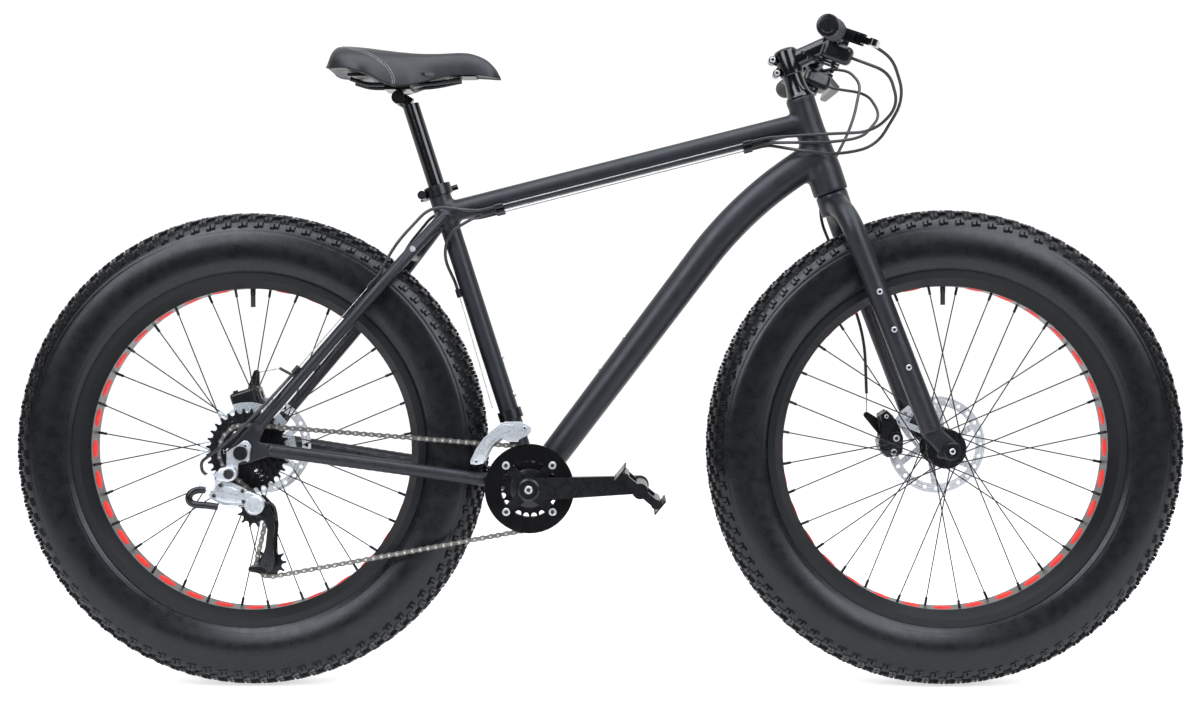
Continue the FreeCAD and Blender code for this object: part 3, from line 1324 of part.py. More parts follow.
def link_axes():
    """Return the derailleur links' own axes: along a link, along its pins and out from its face."""
    along = (LINK_END - LINK_ROOT).normalize()
    pin = ACROSS.cross(along).normalize()
    return along, pin, along.cross(pin)


def on_link(shape, origin):
    along, pin, out = link_axes()
    return framed(shape, origin, along, pin, out)


def derailleur_link(place):
    """Return one link of the parallelogram, drawn along X with its pins along Y."""
    length = (LINK_END - LINK_ROOT).Length
    ends = [Vec(0, 0, place), Vec(length, 0, place)]
    barrels = [disc(end, -LINK_HALF_HEIGHT, LINK_HALF_HEIGHT, LINK_EYE_RADIUS) for end in ends]
    corner = Vec(0, -LINK_HALF_HEIGHT, place - LINK_THICKNESS / 2)
    web = Part.makeBox(length, 2 * LINK_HALF_HEIGHT, LINK_THICKNESS, corner)
    holes = [disc(end, -LINK_HALF_HEIGHT, LINK_HALF_HEIGHT, LINK_PIN_RADIUS + RUN_FIT) for end in ends]
    return on_link(cut(fuse(barrels + [web]), holes), LINK_ROOT)


def link_fork(side):
    """Return the jaw that holds the links' pins, its closed end towards one side of the pins."""
    inner = LINK_HALF_HEIGHT + LINK_GAP
    outer = inner + LINK_LUG
    pins = [Vec(0, 0, -LINK_SPREAD), Vec(0, 0, LINK_SPREAD)]
    lugs = both(link(pins[0], LINK_LUG_RADIUS, pins[1], LINK_LUG_RADIUS, inner, outer))
    shafts = [disc(pin, -outer, outer, LINK_PIN_RADIUS) for pin in pins]
    near = LINK_EYE_RADIUS + LINK_POST_GAP
    start = min(side * near, side * (near + LINK_LUG))
    half = LINK_SPREAD + LINK_LUG_RADIUS
    post = Part.makeBox(LINK_LUG, 2 * outer, 2 * half, Vec(start, -outer, -half))
    ties = [Part.makeBox(near, LINK_LUG, 2 * LINK_SPREAD, Vec(min(0, side * near), low, -LINK_SPREAD))
            for low in (-outer, inner)]
    return fuse(lugs + shafts + ties + [post])


def rear_derailleur():
    """Save the hanger and mounting knuckle, the two links, the moving knuckle, the cage and the pulleys."""
    along, pin, _ = link_axes()
    lift = pin if pin.z > 0 else pin * -1
    hanger_face = -HANGER_SET - HANGER_THICKNESS
    hanger = link(REAR_AXLE, HANGER_ROOT_RADIUS, B_PLACE, B_EYE_RADIUS, hanger_face, -HANGER_SET)
    hanger = hanger.cut(disc(REAR_AXLE, hanger_face, -HANGER_SET, SKEWER_HEAD_RADIUS))
    eye = disc(B_PLACE, -B_OUTER_SET, hanger_face, B_EYE_RADIUS)
    arm_end = LINK_ROOT + lift * B_ARM_LEAD
    arm = link(B_PLACE, B_EYE_RADIUS, arm_end, B_ARM_RADIUS, -B_OUTER_SET, hanger_face)
    bolt = disc(B_PLACE, -B_OUTER_SET - B_BOLT_HEIGHT, -B_OUTER_SET, B_BOLT_RADIUS)
    root_fork = on_link(link_fork(-1), LINK_ROOT)
    save("rear_derailleur_body", [hanger, fuse([eye, arm, root_fork, bolt])])
    save("derailleur_outer_link", [derailleur_link(outer_side())])
    save("derailleur_inner_link", [derailleur_link(-outer_side())])
    end_fork = on_link(link_fork(1), LINK_END)
    boss = disc(CAGE_PIVOT, KNUCKLE_FACES[0], KNUCKLE_FACES[1], KNUCKLE_RADIUS)
    bore = disc(CAGE_PIVOT, KNUCKLE_BORE_END, KNUCKLE_FACES[1], CAGE_PIN_RADIUS + RUN_FIT)
    save("derailleur_knuckle", [fuse([end_fork, boss]).cut(bore)])
    save("derailleur_cage", [derailleur_cage()])
    for name, place in (("guide_pulley", GUIDE), ("tension_pulley", TENSION)):
        save(name, [pulley(place)])


def outer_side():
    """Return the links' spread, signed so that it points to the bike's right."""
    _, _, out = link_axes()
    return LINK_SPREAD if out.y < 0 else -LINK_SPREAD


def derailleur_cage():
    """Return the two cage plates, the pulley pins between them and the pivot pin."""
    inner_low = COG_SET + CAGE_HALF_WIDTH - CAGE_PLATE
    outer_high = COG_SET - CAGE_HALF_WIDTH + CAGE_PLATE
    tail = TENSION + Vec(-CAGE_TAIL_BACK, 0, -CAGE_TAIL_DROP)
    pieces = []
    for low, high in ((inner_low, inner_low + CAGE_PLATE), (outer_high - CAGE_PLATE, outer_high)):
        pieces.append(link(GUIDE, CAGE_EYE_RADIUS, TENSION, CAGE_EYE_RADIUS, low, high))
        pieces.append(link(TENSION, CAGE_EYE_RADIUS, tail, CAGE_TAIL_RADIUS, low, high))
    outer_low = outer_high - CAGE_PLATE
    pieces.append(link(GUIDE, CAGE_EYE_RADIUS, CAGE_PIVOT, CAGE_EYE_RADIUS, outer_low, outer_high))
    pieces.append(disc(tail, outer_low, inner_low + CAGE_PLATE, CAGE_TAIL_RADIUS))
    for place in (GUIDE, TENSION):
        pieces.append(disc(place, outer_low, inner_low + CAGE_PLATE, PULLEY_PIN_RADIUS))
    pieces.append(disc(CAGE_PIVOT, KNUCKLE_BORE_END + RUN_GAP, outer_high, CAGE_PIN_RADIUS))
    return fuse(pieces)


def pulley(place):
    low = COG_SET - PULLEY_HALF_WIDTH
    high = COG_SET + PULLEY_HALF_WIDTH
    teeth = toothed(place, PULLEY_TEETH, low, high, PULLEY_BORE, valley_angle(place, COG_SET))
    hub = washer(place, COG_SET - PULLEY_HUB_HALF, COG_SET + PULLEY_HUB_HALF, PULLEY_HUB_RADIUS, PULLEY_BORE)
    return fuse([teeth, hub])


def arc_plate(low, high):
    """Return one curved plate of the front derailleur cage, about the crank's axis."""
    outer = FD_CAGE_INNER_RADIUS + FD_CAGE_DEPTH
    middle = (FD_CAGE_NOSE_ANGLE + FD_CAGE_TAIL_ANGLE) / 2
    angles = [FD_CAGE_NOSE_ANGLE, middle, FD_CAGE_TAIL_ANGLE]
    inside = [BB + polar(angle, FD_CAGE_INNER_RADIUS) for angle in angles]
    outside = [BB + polar(angle, outer) for angle in reversed(angles)]
    edges = [
        Part.Arc(*inside), Part.LineSegment(inside[2], outside[0]),
        Part.Arc(*outside), Part.LineSegment(outside[2], inside[0])]
    return slab(Part.Wire([edge.toShape() for edge in edges]), low, high)


def front_derailleur():
    """Save the seat tube clamp with its arm, and the chain cage that moves across on it."""
    low = seat_at(FD_CLAMP_RISE - FD_CLAMP_HEIGHT / 2)
    high = seat_at(FD_CLAMP_RISE + FD_CLAMP_HEIGHT / 2)
    ring = pipe(low, high, FD_CLAMP_RADIUS, SEAT_TUBE_RADIUS)
    place = seat_at(FD_ARM_RISE)
    arm = disc(place, FD_ARM_OUTER_SET, -SEAT_TUBE_RADIUS, FD_ARM_RADIUS)
    arm = arm.cut(rod(BB, SEAT_TOP, SEAT_TUBE_RADIUS))
    bore = disc(place, FD_ARM_OUTER_SET, FD_ARM_BORE_END, FD_LINK_RADIUS + RUN_FIT)
    save("front_derailleur_body", [fuse([ring, largest(arm)]).cut(bore)])
    plates = [arc_plate(FD_INNER_SET - FD_PLATE, FD_INNER_SET),
              arc_plate(FD_OUTER_SET, FD_OUTER_SET + FD_PLATE)]
    depth = FD_CAGE_INNER_RADIUS + FD_CAGE_DEPTH * FD_BRIDGE_DEPTH_SHARE
    bridges = [disc(BB + polar(angle, depth), FD_OUTER_SET, FD_INNER_SET, FD_BRIDGE_RADIUS)
               for angle in (FD_CAGE_NOSE_ANGLE + FD_BRIDGE_LEAD, FD_CAGE_TAIL_ANGLE - FD_BRIDGE_LEAD)]
    lug = link(place, FD_ARM_RADIUS, BB + polar(FD_LUG_ANGLE, depth), FD_BRIDGE_RADIUS,
               FD_INNER_SET - FD_PLATE, FD_LUG_INNER_SET)
    slider = disc(place, FD_INNER_SET, FD_SLIDER_END, FD_LINK_RADIUS)
    save("front_derailleur_cage", [fuse(plates + bridges + [lug, slider])])


def leg_points():
    """Return the route of the fork's right leg."""
    root = at_set(steer_at(CROWN_HEIGHT - LEG_ROOT_DROP), -LEG_ROOT_SET)
    knee = at_set(steer_at(CROWN_HEIGHT - LEG_KNEE_DROP, LEG_KNEE_FORWARD), -LEG_KNEE_SET)
    foot = FRONT_AXLE + Vec(-LEG_FOOT_BACK, -LEG_FOOT_SET, LEG_FOOT_RISE)
    return [root, knee, foot]


def fork():
    """Save the fork: the crown with its steerer, and the two legs with their dropouts."""
    crown = rod(steer_at(CROWN_HEIGHT - CROWN_DEPTH), steer_at(CROWN_HEIGHT), CROWN_RADIUS)
    top = steer_at(STEM_LEVEL + STEM_HEIGHT / 2)
    steerer = rod(steer_at(CROWN_HEIGHT), top, STEERER_RADIUS)
    bored = fuse([crown, steerer]).cut(rod(steer_at(CROWN_HEIGHT), top, STEERER_BORE))
    points = leg_points()
    inner = -FRONT_INNER_WIDTH / 2
    outer = inner - DROPOUT_THICKNESS
    eyelet = FRONT_AXLE + Vec(-EYELET_BACK, 0, EYELET_RISE)
    hollow = bent_rod(points, LEG_RADIUS - LEG_WALL)
    leg = largest(cut(bent_rod(points, LEG_RADIUS), [crown, hollow]))
    dropout = link(FRONT_AXLE, FORK_DROPOUT_RADIUS, points[-1], FORK_DROPOUT_STAY_RADIUS, outer, inner)
    pad = disc(eyelet, outer, inner, EYELET_PAD_RADIUS)
    holes = [disc(FRONT_AXLE, outer, inner, AXLE_RADIUS), disc(eyelet, outer, inner, EYELET_RADIUS)]
    leg = cut(fuse([leg, dropout, pad]), holes)
    bolts = []
    for share in FORK_BOLT_SHARES:
        surface = points[1] + (points[2] - points[1]) * share - ACROSS * LEG_RADIUS
        bolts += both(largest(sunk_bolt(surface, ACROSS * -1).cut(leg)))
    save("fork", [bored] + both(leg) + bolts)
    return leg


def stem_direction():
    rise = math.radians(STEM_RISE)
    return STEER_AHEAD * math.cos(rise) + STEER_UP * math.sin(rise)


BAR = steer_at(STEM_LEVEL) + stem_direction() * STEM_LENGTH
BAR_END = BAR + Vec(-BAR_BACK, -BAR_HALF_WIDTH, -BAR_DROOP)
BAR_BEND = BAR + Vec(0, -BAR_STRAIGHT_HALF, 0)
BAR_OUT = (BAR_END - BAR_BEND).normalize()


def stem():
    """Save the stem with its faceplate and bolts, the spacers under it and the cap on top."""
    low = STEM_LEVEL - STEM_HEIGHT / 2
    high = STEM_LEVEL + STEM_HEIGHT / 2
    ahead = stem_direction()
    upward = ahead.cross(ACROSS) * -1
    lug_places = [steer_at(STEM_LEVEL + STEM_HEIGHT * share, -STEM_LUG_REACH) for share in STEM_BOLT_SHARES]
    side = STEM_LUG_HALF_WIDTH
    lugs = [disc(place, -side, side, STEM_LUG_RADIUS) for place in lug_places]
    clamp = disc(BAR, -STEM_CLAMP_HALF_WIDTH, STEM_CLAMP_HALF_WIDTH, STEM_CLAMP_RADIUS)
    sleeve = rod(steer_at(low), steer_at(high), STEM_RADIUS)
    neck = rod(steer_at(STEM_LEVEL), BAR, STEM_NECK_RADIUS)
    body = fuse([sleeve, neck, clamp] + lugs)
    size = 2 * STEM_LENGTH
    block = Part.makeBox(size, size, size, Vec(0, -size / 2, -size / 2))
    front = framed(block, BAR, ahead, ACROSS, ahead.cross(ACROSS))
    bores = [rod(steer_at(low), steer_at(high), STEERER_RADIUS),
             disc(BAR, -STEM_CLAMP_HALF_WIDTH, STEM_CLAMP_HALF_WIDTH, BAR_BULGE_RADIUS)]
    bolts = []
    for rise in (-STEM_FACE_BOLT_RISE, STEM_FACE_BOLT_RISE):
        for across in (-STEM_FACE_BOLT_SET, STEM_FACE_BOLT_SET):
            middle = BAR + upward * rise + ACROSS * across
            bolts.append(rod(middle - ahead * STEM_FACE_BOLT_HALF, middle + ahead * STEM_FACE_BOLT_HALF,
                             STEM_FACE_BOLT_RADIUS))
    body = cut(body, bores + bolts + [moved(front, ahead * (-STEM_SPLIT / 2))])
    faceplate = cut(clamp.common(moved(front, ahead * (STEM_SPLIT / 2))), bores + bolts)
    pinch = [disc(place, -side - STEM_BOLT_HEAD, -side, STEM_BOLT_RADIUS) for place in lug_places]
    cover_low = HEAD_TOP + CUP_TOP_HEIGHT + RUN_GAP
    cover_high = cover_low + COVER_HEIGHT
    hole = rod(steer_at(cover_low), steer_at(high), STEERER_RADIUS)
    cover = steer_cone(cover_low, cover_high, COVER_FOOT_RADIUS, SPACER_RADIUS).cut(hole)
    spacer = pipe(steer_at(cover_high), steer_at(low), SPACER_RADIUS, STEERER_RADIUS)
    cap = rod(steer_at(high), steer_at(high + TOP_CAP_HEIGHT), SPACER_RADIUS)
    save("stem", [largest(body), largest(faceplate), cover, spacer, cap] + bolts + pinch)


def handlebar():
    """Save the bar and the two grips with their end plugs."""
    points = [mirror_point(BAR_END), mirror_point(BAR_BEND), BAR_BEND, BAR_END]
    tube = bent_rod(points, BAR_RADIUS, BAR_BEND_SHARE)
    bulge = disc(BAR, -BAR_BULGE_HALF, BAR_BULGE_HALF, BAR_BULGE_RADIUS)
    save("handlebar", [fuse([tube, bulge]).cut(bent_rod(points, BAR_BORE, BAR_BEND_SHARE))])
    start = BAR_END - BAR_OUT * GRIP_LENGTH
    collar = pipe(start, start + BAR_OUT * GRIP_COLLAR_LENGTH, GRIP_COLLAR_RADIUS, BAR_RADIUS)
    grip = fuse([pipe(start, BAR_END, GRIP_RADIUS, BAR_RADIUS), collar])
    plug = rod(BAR_END, BAR_END + BAR_OUT * PLUG_THICKNESS, GRIP_RADIUS)
    save("grips", both(grip) + both(plug))


def mirror_point(point):
    return Vec(point.x, -point.y, point.z)


def bar_axes():
    """Return the right control's axes: out along the bar, down and forward."""
    forward = polar(-LEVER_DIP, 1)
    forward = (forward - BAR_OUT * BAR_OUT.dot(forward)).normalize()
    return BAR_OUT, forward.cross(BAR_OUT), forward


def on_bar(shape):
    out, down, forward = bar_axes()
    return framed(shape, BAR_END - BAR_OUT * LEVER_CLAMP_PLACE, out, down, forward)


def brake_lever_shapes():
    """Return the lever's mount and the lever, drawn with the bar along X and forward along Z."""
    pivot = Vec(LEVER_PIVOT_OUT, 0, LEVER_PIVOT_FORWARD)
    elbow = Vec(LEVER_ELBOW_OUT, 0, LEVER_ELBOW_FORWARD)
    tip = Vec(LEVER_TIP_OUT, 0, LEVER_TIP_FORWARD)
    half = LEVER_HALF_THICKNESS
    lever = fuse([link(pivot, LEVER_EYE_RADIUS, elbow, LEVER_ELBOW_RADIUS, -half, half),
                  link(elbow, LEVER_ELBOW_RADIUS, tip, LEVER_TIP_RADIUS, -half, half)])
    lever = lever.cut(disc(pivot, -half, half, LEVER_PIN_RADIUS + RUN_FIT))
    clamp_radius = BAR_RADIUS + CLAMP_WALL
    ring = rod(Vec(-CLAMP_HALF_WIDTH, 0, 0), Vec(CLAMP_HALF_WIDTH, 0, 0), clamp_radius)
    high = LEVER_BODY_HALF_HEIGHT
    root = Vec(0, 0, clamp_radius - LEVER_JAW_SINK)
    jaw = link(root, CLAMP_HALF_WIDTH - LEVER_JAW_INSET, pivot, LEVER_BODY_RADIUS, -high, high)
    barrel = rod(Vec(0, 0, LEVER_BARREL_FORWARD), Vec(-BARREL_BACK, 0, BARREL_FORWARD), BARREL_RADIUS)
    room = half + RUN_GAP
    eye_room = LEVER_EYE_RADIUS + LEVER_SLOT_GAP
    swept = link(pivot, eye_room, elbow, eye_room + LEVER_SWEEP_SPREAD, -room, room)
    swept = turned(swept, pivot, -LEVER_SWEEP_ANGLE)
    pin = disc(pivot, -high, high, LEVER_PIN_RADIUS)
    hole = rod(Vec(-CLAMP_HALF_WIDTH, 0, 0), Vec(CLAMP_HALF_WIDTH, 0, 0), BAR_RADIUS)
    mount = cut(fuse([ring, jaw, barrel]), [swept, hole])
    return fuse([largest(mount), pin]), lever


def shifter_shapes():
    """Return the shifter pod, its long thumb lever and its short release lever."""
    middle = Vec(-POD_IN, 0, POD_FORWARD)
    corner = middle + Vec(-POD_HALF_WIDTH, POD_TOP, -POD_HALF_DEPTH)
    pod = Part.makeBox(2 * POD_HALF_WIDTH, POD_BOTTOM - POD_TOP, 2 * POD_HALF_DEPTH, corner)
    pod = pod.makeFillet(POD_ROUND, pod.Edges)
    ends = [Vec(-POD_IN - CLAMP_HALF_WIDTH, 0, 0), Vec(-POD_IN + CLAMP_HALF_WIDTH, 0, 0)]
    ring = rod(ends[0], ends[1], BAR_RADIUS + CLAMP_WALL)
    neck = Part.makeBox(2 * CLAMP_HALF_WIDTH, POD_TOP + POD_ROUND, 2 * CLAMP_HALF_WIDTH,
                        ends[0] - Vec(0, 0, CLAMP_HALF_WIDTH))
    first = POD_BOTTOM + THUMB_GAP
    second = first + THUMB_THICKNESS + THUMB_GAP
    end = second + THUMB_THICKNESS
    pin = disc(middle, POD_BOTTOM - POD_ROUND, end, THUMB_PIN_RADIUS)
    pod = fuse([pod, ring, neck, pin]).cut(rod(ends[0], ends[1], BAR_RADIUS))
    thumb_tip = middle + Vec(THUMB_OUT, 0, -THUMB_BACK)
    release_tip = middle + Vec(-TRIGGER_IN, 0, -TRIGGER_BACK)
    levers = []
    for low, tip in ((first, thumb_tip), (second, release_tip)):
        arm = link(middle, THUMB_EYE_RADIUS, tip, THUMB_PAD_RADIUS, low, low + THUMB_THICKNESS)
        levers.append(arm.cut(disc(middle, low, low + THUMB_THICKNESS, THUMB_PIN_RADIUS + RUN_FIT)))
    return [pod] + levers


def controls():
    """Save the lever mounts and shifter pods, and each lever that moves on them."""
    mount, lever = [on_bar(shape) for shape in brake_lever_shapes()]
    pod, thumb, release = [on_bar(shape) for shape in shifter_shapes()]
    save("bar_controls", both(mount) + both(pod))
    for name, shape in (("brake_lever", lever), ("thumb_lever", thumb), ("release_lever", release)):
        save(name + "_right", [shape])
        save(name + "_left", [mirrored(shape)])


def caliper_shapes():
    """Return a caliper's body, pads, bolts and arm, drawn with the rotor in the plane y = 0."""
    depth = CALIPER_INNER_DEPTH + CALIPER_OUTER_DEPTH
    corner = Vec(-CALIPER_LENGTH / 2, -CALIPER_INNER_DEPTH, -CALIPER_BELOW)
    body = Part.makeBox(CALIPER_LENGTH, depth, CALIPER_BELOW + CALIPER_ABOVE, corner)
    body = body.makeFillet(CALIPER_ROUND, body.Edges)
    slot_corner = Vec(-CALIPER_LENGTH, -CALIPER_SLOT / 2, -2 * CALIPER_BELOW)
    slot = Part.makeBox(2 * CALIPER_LENGTH, CALIPER_SLOT, 2 * CALIPER_BELOW + CALIPER_SLOT_ABOVE, slot_corner)
    middle = Vec(0, 0, ROTOR_RADIUS - ROTOR_BAND / 2 - CALIPER_REACH)
    pad = disc(middle, CALIPER_SLOT / 2 - PAD_THICKNESS, CALIPER_SLOT / 2, PAD_RADIUS)
    low = CALIPER_OUTER_DEPTH + RUN_GAP
    high = low + ARM_THICKNESS
    pin = disc(Vec(0, 0, 0), CALIPER_OUTER_DEPTH, high, ARM_PIN_RADIUS)
    arm = link(Vec(0, 0, 0), ARM_RADIUS, polar(ARM_LEAN, ARM_LENGTH), ARM_TIP_RADIUS, low, high)
    arm = arm.cut(disc(Vec(0, 0, 0), low, high, ARM_PIN_RADIUS + RUN_FIT))
    bolts = []
    for side in (-1, 1):
        foot = Vec(side * CALIPER_BOLT_REACH, -CALIPER_BOLT_SET, CALIPER_ABOVE)
        bolts.append(rod(foot, foot + Vec(0, 0, BOLT_HEAD_HEIGHT), BOLT_HEAD_RADIUS))
    body = fuse([body.cut(slot), pin])
    return [body] + both(pad) + bolts, arm


def brake(name, axle, angle, rotor_set, bracket_root, bracket_low, keep_clear):
    """Save one caliper with its bracket, and its arm."""
    outward = polar(angle, 1)
    place = at_set(axle + outward * CALIPER_REACH, rotor_set)
    tangent = ACROSS.cross(outward)
    fixed, arm = caliper_shapes()
    fixed = [framed(shape, place, tangent, ACROSS, outward) for shape in fixed]
    bracket_high = bracket_low + BRACKET_THICKNESS
    bracket = link(bracket_root, BRACKET_RADIUS, place, BRACKET_RADIUS, bracket_low, bracket_high)
    bracket = largest(cut(bracket, fixed + keep_clear))
    save(name + "_brake_caliper", fixed + [bracket])
    save(name + "_brake_arm", [framed(arm, place, tangent, ACROSS, outward)])


def brakes(right_leg):
    leg = mirrored(right_leg)
    root = FRONT_AXLE + Vec(-LEG_FOOT_BACK, 0, LEG_FOOT_RISE) + STEER_UP * BRACKET_STEP
    brake("front", FRONT_AXLE, FRONT_CALIPER_ANGLE, FRONT_ROTOR_SET, root,
          FRONT_ROTOR_SET + FRONT_BRACKET_GAP, [leg])
    root = REAR_AXLE + polar(REAR_CALIPER_ANGLE - REAR_BRACKET_LEAD, DROPOUT_EYE_RADIUS)
    brake("rear", REAR_AXLE, REAR_CALIPER_ANGLE, REAR_ROTOR_SET, root,
          REAR_INNER_WIDTH / 2 - BRACKET_THICKNESS, [])


def seat():
    """Save the seatpost with its clamp, the saddle and its base with the rails."""
    top = seat_at(SEAT_TUBE_LENGTH + POST_RISE)
    bottom = seat_at(SEAT_TUBE_LENGTH - POST_DEPTH)
    head = top + SEAT_BACK * POST_HEAD_BACK + SEAT_UP * POST_HEAD_RISE
    half = POST_HEAD_HALF_WIDTH
    neck = rod(top, head, POST_HEAD_RADIUS)
    post = fuse([rod(bottom, top, POST_RADIUS), neck, disc(head, -half, half, POST_HEAD_RADIUS)])
    post = post.cut(rod(bottom, top, POST_BORE))
    plate_low = head.z + POST_HEAD_RADIUS
    rail_level = plate_low + CRADLE_THICKNESS + RAIL_RADIUS
    plates = [cradle(head, plate_low), cradle(head, rail_level + RAIL_RADIUS)]
    bolts = []
    for side in (-1, 1):
        place = head + Vec(side * CRADLE_HALF_LENGTH * CRADLE_BOLT_SHARE, 0, 0)
        low = Vec(place.x, 0, plate_low)
        bolts.append(rod(low, Vec(place.x, 0, rail_level + RAIL_RADIUS + CRADLE_THICKNESS), CRADLE_BOLT_RADIUS))
    plates = [cut(plate, bolts) for plate in plates]
    save("seatpost", [post] + plates + bolts)
    cover, base, rails = saddle(head, rail_level)
    save("saddle_cover", [cover])
    save("saddle_base", [base] + rails)


def cradle(head, low):
    corner = Vec(head.x - CRADLE_HALF_LENGTH, -CRADLE_HALF_WIDTH, low)
    return Part.makeBox(2 * CRADLE_HALF_LENGTH, 2 * CRADLE_HALF_WIDTH, CRADLE_THICKNESS, corner)


def saddle_section(x, half_width, low, high):
    """Return one closed section of the saddle across the bike."""
    flank = low + (high - low) * SADDLE_FLANK_SHARE
    right = [Vec(x, -half_width, low), Vec(x, -half_width, flank)]
    left = [Vec(x, half_width, flank), Vec(x, half_width, low)]
    crest = Vec(x, 0, high)
    edges = [Part.LineSegment(right[0], right[1]), Part.Arc(right[1], crest, left[0]),
             Part.LineSegment(left[0], left[1]), Part.LineSegment(left[1], right[0])]
    return Part.Wire([edge.toShape() for edge in edges])


def saddle(head, rail_level):
    """Return the padded cover, the base plate inside it and the two rails."""
    tail = head.x - SADDLE_TAIL_BACK
    foot = head.z + SADDLE_FOOT_RISE
    rows = zip(SADDLE_PLACE_SHARES, SADDLE_WIDTH_SHARES, SADDLE_TOP_SHARES, SADDLE_FOOT_SHARES)
    sections = [saddle_section(tail + SADDLE_LENGTH * place, SADDLE_HALF_WIDTH * width,
                               foot + SADDLE_HEIGHT * low, foot + SADDLE_HEIGHT * high)
                for place, width, high, low in rows]
    cover = Part.makeLoft(sections, True, False)
    base_low = rail_level + RAIL_RADIUS + CRADLE_THICKNESS + RAIL_RADIUS
    start, end = [tail + SADDLE_LENGTH * share for share in SADDLE_CAVITY_SHARES]
    half = SADDLE_CAVITY_HALF_WIDTH
    room = Part.makeBox(end - start, 2 * half, base_low + SADDLE_BASE_THICKNESS - foot + SADDLE_HEIGHT,
                        Vec(start, -half, foot - SADDLE_HEIGHT))
    base = Part.makeBox(end - start, 2 * half, SADDLE_BASE_THICKNESS, Vec(start, -half, base_low)).common(cover)
    rail = [Vec(head.x + RAIL_HALF_RUN + RAIL_END_REACH, -RAIL_NOSE_SET, base_low - RAIL_RADIUS),
            Vec(head.x + RAIL_HALF_RUN, -RAIL_SET, rail_level),
            Vec(head.x - RAIL_HALF_RUN, -RAIL_SET, rail_level),
            Vec(start + RAIL_RADIUS, -RAIL_TAIL_SET, base_low - RAIL_RADIUS)]
    return cover.cut(room), base, both(bent_rod(rail, RAIL_RADIUS))


TOP_TUBE_BACK = seat_at(SEAT_TUBE_LENGTH - TOP_SEAT_DROP)
TOP_TUBE_ALONG = (steer_at(HEAD_TOP - TOP_HEAD_DROP) - TOP_TUBE_BACK).normalize()


def under_top_tube(reach, angle):
    """Return a place beside the top tube, the angle measured down from the bike's right."""
    turn = math.radians(angle)
    drop = ACROSS.cross(TOP_TUBE_ALONG)
    out = TOP_RADIUS + STOP_RADIUS - STOP_SINK
    return TOP_TUBE_BACK + TOP_TUBE_ALONG * reach + (ACROSS * -math.cos(turn) + drop * math.sin(turn)) * out


def beside_stay(share):
    """Return a place on the upper rear side of the right seatstay."""
    foot, knee, _ = stay_points()[1]
    along = (knee - foot).normalize()
    out = ACROSS.cross(along).normalize() * -1
    return foot + (knee - foot) * share + out * (SEATSTAY_RADIUS + STOP_RADIUS - STOP_SINK)


def behind_seat_tube(rise):
    return seat_at(rise, SEAT_TUBE_RADIUS + STOP_RADIUS - STOP_SINK)


def on_bar_point(out_step, down_step, forward_step):
    out, down, forward = bar_axes()
    origin = BAR_END - BAR_OUT * LEVER_CLAMP_PLACE
    return origin + out * out_step + down * down_step + forward * forward_step


def stop(middle, along):
    return rod(middle - along * (STOP_LENGTH / 2), middle + along * (STOP_LENGTH / 2), STOP_RADIUS)


def sunk_bolt(surface, outward):
    """Return a bolt head that stands on a tube, its foot sunk into the surface to be trimmed."""
    return rod(surface - outward * BOLT_SINK, surface + outward * BOLT_HEAD_HEIGHT, BOLT_HEAD_RADIUS)


def bolts_and_stops():
    """Return the bolt heads and cable stops on the frame, trimmed to the tubes they sit on."""
    solids = []
    seat = seat_block()
    down = down_solid(0)
    for step in (0, BOTTLE_SPACING):
        surface = seat_at(SEAT_BOTTLE_RISE + step, -SEAT_TUBE_RADIUS)
        solids.append(sunk_bolt(surface, SEAT_BACK * -1).cut(seat))
        rise = DOWN_BOTTLE_RISE + step
        upward = polar(DOWN_ANGLE + FULL_TURN / 4, 1)
        surface = BB + DOWN_DIRECTION * rise + upward * DOWN_LOW_RADIUS
        solids.append(sunk_bolt(surface, upward).cut(down))
    _, seat_points = stay_points()
    stay = bent_rod(seat_points, SEATSTAY_RADIUS)
    _, knee, head = seat_points
    place = knee + (head - knee) * RACK_BOLT_SHARE
    solids += both(sunk_bolt(place - ACROSS * SEATSTAY_RADIUS, ACROSS * -1).cut(stay))
    tube = rod(TOP_TUBE_BACK, steer_at(HEAD_TOP - TOP_HEAD_DROP), TOP_RADIUS)
    for reach in (STOP_REAR_REACH, STOP_FRONT_REACH):
        for angle in STOP_ANGLES:
            solids.append(stop(under_top_tube(reach, angle), TOP_TUBE_ALONG).cut(tube))
    solids.append(stop(behind_seat_tube(SEAT_STOP_RISE), SEAT_UP).cut(seat))
    foot, knee, _ = seat_points
    along = (knee - foot).normalize()
    for share in STAY_STOP_SHARES:
        place = beside_stay(share)
        guide = pipe(place - along * (STOP_LENGTH / 2), place + along * (STOP_LENGTH / 2), STOP_RADIUS,
                     HOUSING_RADIUS)
        solids += [stop(place, along).cut(stay), mirrored(guide.cut(stay))]
    return [largest(solid) for solid in solids]


def bore_for_cables(solids):
    """Drill the cable stops so that the wires pass through them."""
    return [cut(solid, wires()) for solid in solids]


def clamp_place():
    return seat_at(SEAT_TUBE_LENGTH - CLAMP_HEIGHT / 2, CLAMP_EAR_REACH)


